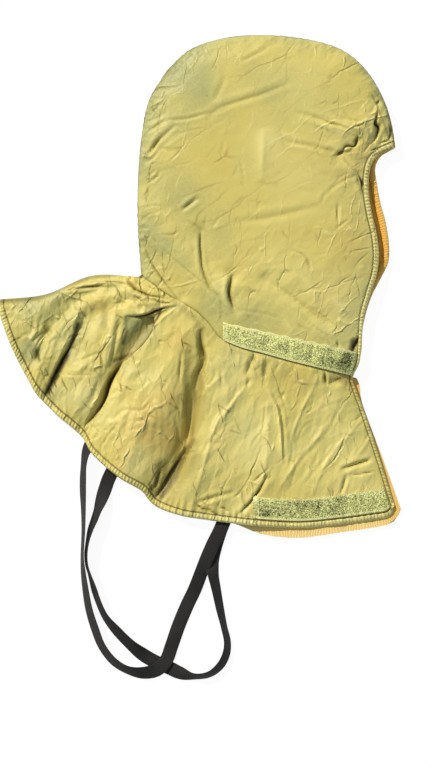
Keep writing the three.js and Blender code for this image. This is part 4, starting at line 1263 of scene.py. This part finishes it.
def facet_relief(rows, x, y):
    """Height that the cloth loses where it falls into flat facets, and where those are."""
    relief, within = np.zeros(x.shape), np.zeros(x.shape)
    for (x1, y1, drop1), (x2, y2, drop2), (x3, y3, drop3) in rows:
        whole = (x2 - x1) * (y3 - y1) - (x3 - x1) * (y2 - y1)
        two = ((x - x1) * (y3 - y1) - (x3 - x1) * (y - y1)) / whole
        three = ((x2 - x1) * (y - y1) - (x - x1) * (y2 - y1)) / whole
        inside = (two >= 0) & (three >= 0) & (two + three < 1)
        relief -= np.where(inside, drop1 * (1 - two - three) + drop2 * two + drop3 * three, 0)
        within = np.maximum(within, inside)
    return relief, within


def across_neck(shares):
    """Direction over the neck seam, from the hood to the cape, at shares of the neck's length."""
    along = along_line(np.gradient(neck_line, axis=0), shares)
    along /= np.linalg.norm(along, axis=1)[:, None]
    return np.column_stack([along[:, 1], -along[:, 0]])


def neck_share_at(x):
    """Share of the neck's length at a place across the hood."""
    return np.interp(x, neck_line[:, 0], np.linspace(0, 1, SEAM_POINTS))


def fold_points(fold, height):
    """The four points that a fold line runs through, from the neck seam to the hem."""
    neck_x, bow_1, bow_2, hem_x, hem_y, z_1, z_2, hem_z = fold
    share = [neck_share_at(neck_x)]
    top = (along_line(neck_line, share) + NECK_GAP * across_neck(share))[0]
    top_z = float(height(top[:1], top[1:])[0])
    hem = np.array([hem_x, hem_y], float)
    run = (hem - top) / np.linalg.norm(hem - top)
    forward = np.array([-run[1], run[0]])
    third = top + (hem - top) / 3 + forward * bow_1
    two_thirds = top + (hem - top) * 2 / 3 + forward * bow_2
    return [(*top, top_z), (*third, z_1), (*two_thirds, z_2), (*hem, hem_z)]


near_spans = len(NEAR_FOLDS) - 1
near_folds = [fold_points(fold, near_height) for fold in NEAR_FOLDS]
folds = np.array(near_folds + [fold_points(fold, far_height) for fold in FAR_FOLDS])
cape_vs = np.linspace(0, 1, CAPE_ROWS)
fold_lines = np.array([through(points, cape_vs * (len(points) - 1)) for points in folds])
fold_places = run_along(fold_lines[:, -1])
near_length = fold_places[near_spans]
near_columns = np.linspace(0, near_length, int(near_length / CAPE_COLUMN_STEP))
far_columns = np.linspace(near_length, fold_places[-1], CAPE_FAR_COLUMNS)[1:]
cape_us = np.interp(np.concatenate([near_columns, far_columns]), fold_places, np.arange(len(folds)))
cape_base = through(fold_lines.reshape(len(folds), -1), cape_us).reshape(len(cape_us), CAPE_ROWS, 3)

neck_tuck = across_neck(neck_share_at(cape_base[:, 0, 0])) * NECK_TUCK
under_hood = -np.column_stack([neck_tuck, np.full(len(cape_us), NECK_SUNK)])
cape_base[:, 0] += np.where((cape_us < near_spans - 0.5)[:, None], under_hood, 0)
cape_x, cape_y = cape_base[..., 0], cape_base[..., 1]
throat_fill = bell(beside(cape_base[-1, :, :2], cape_x, cape_y)[0], THROAT_FILL_WIDTH)
throat_fill *= bell(cape_y - THROAT_FILL_Y, THROAT_FILL_REACH)
throat_fill *= (cape_us > near_spans + THROAT_FILL_FOLDS)[:, None]
cape_base[..., 0] += THROAT_FILL * throat_fill

cape_length = np.linalg.norm(cape_base[:, 0] - cape_base[:, -1], axis=1)[:, None]
from_hem = (1 - cape_vs)[None] * cape_length
from_neck = cape_vs[None] * cape_length
along_hem = run_along(cape_base[:, -1])[:, None]
upper = (cape_us < near_spans - 1).astype(float)[:, None]
in_sight = (cape_us < near_spans + 0.5).astype(float)[:, None]
from_front = beside(cape_base[0, :, :2], cape_x, cape_y)[0]
from_front = np.where(cape_us[:, None] < FRONT_FOLDS, from_front, FAR_OFF)
cape_relief = crease_relief(CAPE_CREASES + scattered(CAPE_WRINKLES, CAPE_SEED), cape_x, cape_y)
cape_facets, in_facet = facet_relief(CAPE_FACETS, cape_x, cape_y)
cape_relief += flap_relief(CAPE_FLAPS, cape_x, cape_y) + cape_facets
tape_columns = (cape_us > HEM_TAPE_FRONT - HEM_TAPE_END) & (cape_us < HEM_TAPE_BACK + HEM_TAPE_END)
under_tape = (from_hem > HEM_TAPE_BELOW - HEM_TAPE_MARGIN) & tape_columns[:, None]
under_tape &= from_hem < HEM_TAPE_BELOW + TAPE_WIDTH + HEM_TAPE_MARGIN
cape_relief *= np.where(under_tape, TAPE_FLATTENS, 1)
cape_relief *= np.clip(from_hem / HEM_FLAT, HEM_FLATTENS, 1) * np.clip(from_neck / NECK_FLAT, 0, 1)
cape_relief += channel_relief(from_hem) + edge_round(from_hem, EDGE_RADIUS)
cape_relief += channel_relief(FRONT_NARROWS * from_front) + edge_round(from_front, EDGE_RADIUS)
hem_gather = HEM_PUCKER * (1 + HEM_GATHER * bell(cape_x - HEM_GATHER_X, HEM_GATHER_REACH))
hem_gather *= pucker(along_hem, HEM_PUCKER_WAVE) * bell(from_hem - HEM_PUCKER_PLACE, HEM_PUCKER_REACH)
cape_slits, cape_painted_shade = slit_share(CAPE_SLITS, cape_x, cape_y)
cape_relief = upper * (cape_relief + hem_gather + cape_slits)
cape_shell = cape_base + normals_of(cape_base) * cape_relief[..., None]
front_half = np.clip((cape_x - FRONT_FROM) / FRONT_REACH, 0, 1) * upper
cape_shell[..., 2] -= front_half * EDGE_SINK * np.exp(-np.minimum(from_hem, from_front) / EDGE_SINK_REACH)
cape_floor = np.where(upper > 0, SLIT_FLOOR, -FAR_OFF)
cape_shell[..., 2] = np.maximum(cape_shell[..., 2], cape_floor)
cape_inner = cape_shell - normals_of(smoothed(cape_base, CAPE_EVEN)) * SHELL_WALL

# Painted shade in the slits and the hollows of the table, placed where the cloth ends up.
cape_painted_shade = shaded(cape_painted_shade, CAPE_SHADES, cape_shell[..., 0], cape_shell[..., 1])
# Painted light along the hem channel, fullest towards the front.
hem_painted_light = HEM_PAINTED_LIGHT * np.clip((cape_x - HEM_PAINTED_LIGHT_FROM) / FRONT_REACH, HEM_PAINTED_LIGHT_LEAST, 1)
hem_painted_light *= from_hem < CHANNEL_WIDTH
cape_marks = {
    "crease": -cape_relief / CAPE_CREASE_MARK, "deep": cape_painted_shade * in_sight,
    # Painted shade, greener, on the flat facets.
    "green": patched(SHADE_TINT_PATCHES, cape_x, cape_y) + FACET_SHADE_TINT * in_facet * upper,
    "crumple": patched(CRUMPLED, cape_x, cape_y, CRUMPLED_CAPE),
    "edge": np.minimum(from_hem, FRONT_NARROWS * from_front),
    "run": np.where(from_hem < from_front, along_hem, from_neck),
    "pale": (patched(PAINTED_LIGHT_PATCHES, cape_x, cape_y) + hem_painted_light) * upper,
}
cape_finish = shell_material("cape_nylon", CAPE_HEADING)
cape_cloth = wall_piece("cape_cloth", cape_shell, cape_inner, cape_finish, cape_marks)
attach(cape_cloth, "root")
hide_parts("cape_shell")

CAPE_LINING_EVEN = 8
LINING_SLACK = 1.5
LINING_SLACK_REACH = 30.0
LINING_FLOOR = 0.5
NAPE = (-70, 14)
NAPE_REACH = 12.0
NAPE_TUCK = 5.0
HEM_LINING_PUCKER = 1.2
HEM_LINING_WAVE = 6.0
HEM_LINING_REACH = 12.0
HEM_LINING_PADDING = 0.6
HEM_LINING_THINNEST = -0.3
HEM_WORN = 0.7
HEM_WORN_REACH = 22.0
HEM_WORN_FROM = 6.0
HEM_WORN_RISE = 20.0
FRONT_WORN = 0.4
FRONT_WORN_REACH = 14.0

lining_way = normals_of(smoothed(cape_base, CAPE_LINING_EVEN))
cape_gather = HEM_LINING_PUCKER * pucker(along_hem, HEM_LINING_WAVE) * bell(from_hem, HEM_LINING_REACH)
cape_gather = np.maximum((1 - upper) * (cape_gather + HEM_LINING_PADDING), HEM_LINING_THINNEST)
cape_slack = LINING_SLACK * upper * np.clip(np.minimum(from_hem, from_neck) / LINING_SLACK_REACH, 0, 1)
lining_outer = cape_inner - lining_way * (CLOTH_GAP + cape_slack)[..., None]
lining_inner = lining_outer - lining_way * (LINING_WALL + cape_gather)[..., None]
at_nape = bell(np.hypot(cape_x - NAPE[0], cape_y - NAPE[1]), NAPE_REACH)
for layer in (lining_outer, lining_inner):
    layer[..., 1] -= NAPE_TUCK * at_nape
    layer[..., 2] = np.maximum(layer[..., 2], LINING_FLOOR)
far_front = beside(cape_base[-1, :, :2], cape_x, cape_y)[0]
hem_worn = HEM_WORN * bell(from_hem, HEM_WORN_REACH)
hem_worn *= np.clip((far_front - HEM_WORN_FROM) / HEM_WORN_RISE, 0, 1)
cape_worn = np.maximum(hem_worn, FRONT_WORN * bell(far_front, FRONT_WORN_REACH))
thinned = (np.unique(np.append(np.arange(0, len(cape_us), 2), len(cape_us) - 1)), np.s_[1::2])
cape_lining_marks = {
    "crease": -cape_gather[thinned], "worn": cape_worn[thinned],
    "run": np.broadcast_to(along_hem, from_hem.shape)[thinned],
}
cape_lining = wall_piece(
    "cape_lining_cloth", lining_outer[thinned], lining_inner[thinned], lining_finish, cape_lining_marks,
)
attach(cape_lining, "root")
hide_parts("cape_lining")


# Loop tapes
# Two strips of loop tape, an inch wide, sewn flat on the shell above the neck seam and the hem.
# Each is a woven ground with a pale selvedge along its edges and a crushed pile of fine loops.
TAPE_GROUND = 0.7
TAPE_LIFT = 0.7
TAPE_EDGE = 1.5
TAPE_STEPS = 96
TAPE_STEPS_ACROSS = 18
TAPE_RIPPLE = 0.35
TAPE_RIPPLE_WAVE = 9.0
TAPE_END_STEPS = 3
SELVEDGE_STEPS = 2
THROAT_TOP_BACK = (26.0, -42.0)
THROAT_TOP_FRONT = (180.0, -75.5)
THROAT_TOP_SWAY = 0.8
THROAT_TOP_WAVE = 11.0
THROAT_DULL = -0.36
HEM_DULL = -0.19
LOOP_DENSITY = 5.0e5
LOOP_RADIUS = 0.0007
LOOP_THREAD = 0.0002
LOOP_SWEEP = 205.0
LOOP_LEAN = 0.9
LOOP_SEED = 3
LEAN_SEED = 5
THROAT_BLOTS = [
    # x, y, reach, amount
    (70, -66, 10, 0.3), (95, -71, 9, 0.25), (118, -81, 11, 0.25), (143, -89, 13, 0.4),
    (164, -92, 18, 0.6), (173, -82, 14, 0.6), (150, -76, 9, 0.3),
]
HEM_BLOTS = [
    # x, y, reach, amount
    (74, -264, 12, 0.5), (121, -250, 10, 0.3), (134, -255, 12, 0.35), (157, -258, 9, 0.4),
    (161, -247, 8, 0.4), (100, -256, 24, 0.15),
]
TAPE_PALE = srgb(248, 248, 172)
TAPE_DARK = srgb(58, 62, 18)
TAPE_SELVEDGE = srgb(254, 248, 182)
TAPE_ROUGH = 0.62


def geometry_tree(name, sizes):
    """A new geometry tree with a socket for each named size, and values for its inputs."""
    tree = bpy.data.node_groups.new(name, "GeometryNodeTree")
    tree.interface.new_socket("Geometry", in_out="INPUT", socket_type="NodeSocketGeometry")
    for size in sizes:
        tree.interface.new_socket(size, in_out="INPUT", socket_type="NodeSocketFloat")
    tree.interface.new_socket("Finish", in_out="INPUT", socket_type="NodeSocketMaterial")
    tree.interface.new_socket("Geometry", in_out="OUTPUT", socket_type="NodeSocketGeometry")
    given = tree.nodes.new("NodeGroupInput")
    return tree, {socket.name: Value(tree, socket) for socket in given.outputs if socket.name}


def close_tree(made, finish):
    """Ends a geometry tree in plain geometry with its finish on."""
    real = made.node("GeometryNodeRealizeInstances", {}, {0: made})
    done = made.node("GeometryNodeSetMaterial", {}, {"Geometry": real, "Material": finish})
    made.node("NodeGroupOutput", {}, {0: done})


def grown(name, tree, sizes, finish, points, edges=(), faces=()):
    """A piece that a geometry tree grows on points, edges or faces in millimetres."""
    mesh = bpy.data.meshes.new(name)
    mesh.from_pydata((np.asarray(points) * MM).tolist(), list(edges), list(faces))
    seed = placed(name + "_seed", mesh)
    modifier = seed.modifiers.new("grow", "NODES")
    modifier.node_group = tree
    for item in tree.interface.items_tree:
        if item.in_out == "INPUT" and item.name in sizes:
            modifier[item.identifier] = sizes[item.name]
        elif item.in_out == "INPUT" and item.name == "Finish":
            modifier[item.identifier] = finish
    evaluated = seed.evaluated_get(bpy.context.evaluated_depsgraph_get())
    plain = bpy.data.meshes.new_from_object(evaluated)
    bpy.data.objects.remove(seed)
    piece = placed(name, plain)
    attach(piece, "root")
    return piece


def pile_tree():
    """Loops of thread that stand on a surface and lean every way."""
    tree, given = geometry_tree("loop_pile", ("Density", "Loop Radius", "Thread"))
    start = Value(tree)
    spots = tree.nodes.new("GeometryNodeDistributePointsOnFaces")
    tree.links.new(given["Geometry"].socket, spots.inputs["Mesh"])
    tree.links.new(given["Density"].socket, spots.inputs["Density"])
    spots.inputs["Seed"].default_value = LOOP_SEED
    bend = {"Resolution": 6, "Radius": given["Loop Radius"], "Sweep Angle": math.radians(LOOP_SWEEP)}
    arc = start.node("GeometryNodeCurveArc", {}, bend)
    upright = {"Geometry": arc, "Rotation": (math.radians(90), 0, 0)}
    stood = start.node("GeometryNodeTransform", {}, upright)
    strand = start.node("GeometryNodeCurvePrimitiveCircle", {}, {"Resolution": 3, "Radius": given["Thread"]})
    loop = start.node("GeometryNodeCurveToMesh", {}, {"Curve": stood, "Profile Curve": strand})
    least, most = (-LOOP_LEAN, -LOOP_LEAN, 0.0), (LOOP_LEAN, LOOP_LEAN, 2 * math.pi)
    turn = start.node(
        "FunctionNodeRandomValue", {"data_type": "FLOAT_VECTOR"}, {0: least, 1: most, "Seed": LEAN_SEED},
    )
    lean = start.node("FunctionNodeEulerToRotation", {}, {0: turn})
    turned = start.node(
        "FunctionNodeRotateRotation", {"rotation_space": "LOCAL"},
        {0: Value(tree, spots.outputs["Rotation"]), 1: lean},
    )
    laid = start.node(
        "GeometryNodeInstanceOnPoints", {},
        {"Points": Value(tree, spots.outputs["Points"]), "Instance": loop, "Rotation": turned},
    )
    close_tree(laid, given["Finish"])
    return tree


def tape_material(name, dull, blots):
    """Speckled loop tape with a pale selvedge, dull all over and duller in crushed blots."""
    made, start = opened(bpy.data.materials.new(name))
    place = start.node("ShaderNodeTexCoord", out="Object")
    flat = start.node("ShaderNodeVectorMath", {"operation": "MULTIPLY"}, {0: place, 1: (1, 1, 0)})
    speckle = place.noise(620.0, 2.0).within(0.38, 0.62)
    crushed = place.noise(130.0, 4.0, Roughness=0.7).within(0.42, 0.68)
    tone = speckle * 0.75 + crushed * 0.35 + dull
    for x, y, reach, amount in blots:
        middle = {0: flat, 1: (x * MM, y * MM, 0)}
        away = start.node("ShaderNodeVectorMath", {"operation": "DISTANCE"}, middle, out="Value")
        tone = tone + away.within(reach * MM, 0.0) * amount
    colour = tone.within().between(TAPE_PALE, TAPE_DARK)
    colour = start.mark("selvedge").between(colour, TAPE_SELVEDGE)
    return surfaced(made, start, {"Base Color": colour, "Roughness": TAPE_ROUGH})


def loop_tape(name, ground, finish, worn_to, top_rim):
    """Ground and pile of a tape from a grid of points on the shell, along and across the tape."""
    up = normals_of(ground)
    ripple = TAPE_RIPPLE * pucker(np.arange(len(ground)), TAPE_RIPPLE_WAVE)[:, None]
    ripple = ripple * np.sin(np.linspace(0, math.pi, ground.shape[1]))
    base = ground + up * (TAPE_LIFT + ripple)[..., None]
    top = base + up * TAPE_GROUND
    rim = np.zeros(ground.shape[:2])
    rim[:, :SELVEDGE_STEPS] = np.linspace(1, worn_to, len(ground))[:, None]
    rim[:, -SELVEDGE_STEPS:] = top_rim * rim[:, :SELVEDGE_STEPS]
    woven = wall_piece(name + "_ground", top, base, finish, {"selvedge": rim})
    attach(woven, "root")
    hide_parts(name)
    field = top[TAPE_END_STEPS:-TAPE_END_STEPS, SELVEDGE_STEPS:-SELVEDGE_STEPS]
    faces = sheet_faces(np.arange(field[..., 0].size).reshape(field.shape[:2])).tolist()
    sizes = {"Density": LOOP_DENSITY, "Loop Radius": LOOP_RADIUS, "Thread": LOOP_THREAD}
    pile = grown(name + "_pile", loop_pile, sizes, finish, field.reshape(-1, 3), faces=faces)
    return top


def on_cape(us, off_hem):
    """Points on the finished cape at fold places and distances from the hem."""
    columns = np.interp(us, cape_us, np.arange(len(cape_us)))
    first = np.clip(columns.astype(int), 0, len(cape_us) - 2)
    part = (columns - first)[:, None]
    length = cape_length[first] * (1 - part) + cape_length[first + 1] * part
    rows = (1 - off_hem / length) * (CAPE_ROWS - 1)
    low = np.clip(rows.astype(int), 0, CAPE_ROWS - 2)
    share = (rows - low)[..., None]
    part = part[..., None]
    one, two = first[:, None], first[:, None] + 1
    here = cape_shell[one, low] * (1 - share) + cape_shell[one, low + 1] * share
    beyond = cape_shell[two, low] * (1 - share) + cape_shell[two, low + 1] * share
    return here * (1 - part) + beyond * part


loop_pile = pile_tree()
tape_along = np.linspace(0, 1, TAPE_STEPS)
tape_across = np.linspace(0, 1, TAPE_STEPS_ACROSS)

throat_shares = neck_share_at(THROAT_TAPE_BACK + (THROAT_TAPE_FRONT - THROAT_TAPE_BACK) * tape_along)
throat_low = along_line(neck_line, throat_shares) - across_neck(throat_shares) * TAPE_EDGE
throat_high = along_line(np.array([THROAT_TOP_BACK, THROAT_TOP_FRONT]), tape_along)
throat_high[:, 1] += THROAT_TOP_SWAY * pucker(np.arange(TAPE_STEPS), THROAT_TOP_WAVE)
throat_plan = throat_low[:, None] + (throat_high - throat_low)[:, None] * tape_across[None, :, None]
throat_ground = np.dstack([throat_plan, near_height(throat_plan[..., 0], throat_plan[..., 1])])
throat_finish = tape_material("throat_tape", THROAT_DULL, THROAT_BLOTS)
throat_top = loop_tape("throat_loop_tape", throat_ground, throat_finish, worn_to=0.2, top_rim=1.0)

hem_us = HEM_TAPE_BACK + (HEM_TAPE_FRONT - HEM_TAPE_BACK) * tape_along
hem_ground = on_cape(hem_us, (HEM_TAPE_BELOW + TAPE_WIDTH * tape_across)[None])
hem_finish = tape_material("hem_tape", HEM_DULL, HEM_BLOTS)
hem_top = loop_tape("hem_loop_tape", hem_ground, hem_finish, worn_to=0.8, top_rim=0.3)


# Hook tapes
# The hook halves face the table on the lower side and stay out of sight. Plain woven strips with
# a bed of fine moulded hooks.
HOOK_DARK = srgb(96, 96, 58)
HOOK_PALE = srgb(160, 158, 104)
HOOK_ROUGH = 0.6


def hook_material():
    """Faded tape with a bed of hooks too fine to model."""
    made, start = opened(bpy.data.materials.new("hook_tape"))
    place = start.node("ShaderNodeTexCoord", out="Object")
    hooks = start.node("ShaderNodeTexVoronoi", {}, {"Vector": place, "Scale": 700.0}, out="Distance")
    tone = (hooks * 0.6 + place.noise(60.0, 3.0) * 0.5).within(0.1, 0.9)
    colour = tone.between(HOOK_DARK, HOOK_PALE)
    bump = (1 - hooks).bump(0.8, 0.0008)
    return surfaced(made, start, {"Base Color": colour, "Roughness": HOOK_ROUGH, "Normal": bump})


hook_finish = hook_material()
for hook_tape in ("throat_hook_tape", "hem_hook_tape"):
    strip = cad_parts[hook_tape].data
    strip.materials.clear()
    strip.materials.append(hook_finish)


# Stitches
# Rows of olive thread close the face channel and the hem channel, and pale rows hold down the edges
# of both loop tapes. Each stitch is a short bead of thread that dives into the cloth at its ends.
STITCH_PITCH = 0.0033
STITCH_LENGTH = 0.0025
STITCH_THREAD = 0.0006
STITCH_LIFT = 0.1
STITCH_ROUGH = 0.6
FACE_ROW_POINTS = 150
FACE_ROW_ENDS = (0.01, 0.99)
HEM_ROW_POINTS = 420
HEM_ROW_ENDS = (0.4, near_spans - 1.5)
EDGE_THREAD = (srgb(80, 72, 34), srgb(140, 126, 66))
TAPE_THREAD = (srgb(196, 188, 112), srgb(250, 244, 170))


def stitch_tree():
    """Beads of thread at an even pitch along a line."""
    tree, given = geometry_tree("stitch_row", ("Pitch", "Length", "Thread"))
    start = Value(tree)
    line = start.node("GeometryNodeMeshToCurve", {}, {"Mesh": given["Geometry"]})
    pitch = {"Curve": line, "Length": given["Pitch"]}
    spaced = start.node("GeometryNodeResampleCurve", {"mode": "LENGTH"}, pitch)
    bead = start.node("GeometryNodeMeshUVSphere", {}, {"Segments": 6, "Rings": 4, "Radius": 0.5})
    thread = given["Thread"]
    shape = start.node("ShaderNodeCombineXYZ", {}, {0: given["Length"], 1: thread, 2: thread})
    along = start.node("GeometryNodeInputTangent")
    turned = start.node("FunctionNodeAlignRotationToVector", {"axis": "X"}, {"Vector": along})
    laid = start.node(
        "GeometryNodeInstanceOnPoints", {},
        {"Points": spaced, "Instance": bead, "Rotation": turned, "Scale": shape},
    )
    close_tree(laid, given["Finish"])
    return tree


def thread_material(name, dark, pale):
    """Twisted thread, uneven from dark to pale."""
    made, start = opened(bpy.data.materials.new(name))
    place = start.node("ShaderNodeTexCoord", out="Object")
    colour = place.noise(700.0, 2.0).between(dark, pale)
    return surfaced(made, start, {"Base Color": colour, "Roughness": STITCH_ROUGH})


def round_tape(top):
    """The sewing line round a tape, one step in from its edges."""
    field = top[1:-1, 1:-1]
    ring = [field[:, 0], field[-1], field[::-1, -1], field[0, ::-1]]
    return np.concatenate(ring + [ring[0][:1]])


def on_hood(shares, off_face):
    """Points on the upper hood panel at shares up its face edge and a distance in from that edge."""
    rows = np.interp(shares, hood_vs, np.arange(HOOD_ROWS)).round().astype(int)
    line = []
    for row in rows:
        run = near_hood[::-1, row]
        gone = run_along(run[:, :2])
        line.append([np.interp(off_face, gone, run[:, k]) for k in range(3)])
    return np.array(line)


def sewn(name, rows, finish):
    """Rows of stitches along lines of points on the cloth."""
    points, edges = [], []
    for row in rows:
        edges += [(len(points) + k, len(points) + k + 1) for k in range(len(row) - 1)]
        points += [tuple(p + (0, 0, STITCH_LIFT)) for p in row]
    sizes = {"Pitch": STITCH_PITCH, "Length": STITCH_LENGTH, "Thread": STITCH_THREAD}
    stitches = grown(name, stitch_row, sizes, finish, points, edges=edges)


stitch_row = stitch_tree()
face_row = on_hood(np.linspace(*FACE_ROW_ENDS, FACE_ROW_POINTS), CHANNEL_WIDTH)
hem_row = on_cape(np.linspace(*HEM_ROW_ENDS, HEM_ROW_POINTS), np.array([[CHANNEL_WIDTH]]))[:, 0]
tape_rows = [round_tape(throat_top), round_tape(hem_top)]
sewn("edge_stitches", [face_row, hem_row], thread_material("edge_thread", *EDGE_THREAD))
sewn("tape_stitches", tape_rows, thread_material("tape_thread", *TAPE_THREAD))
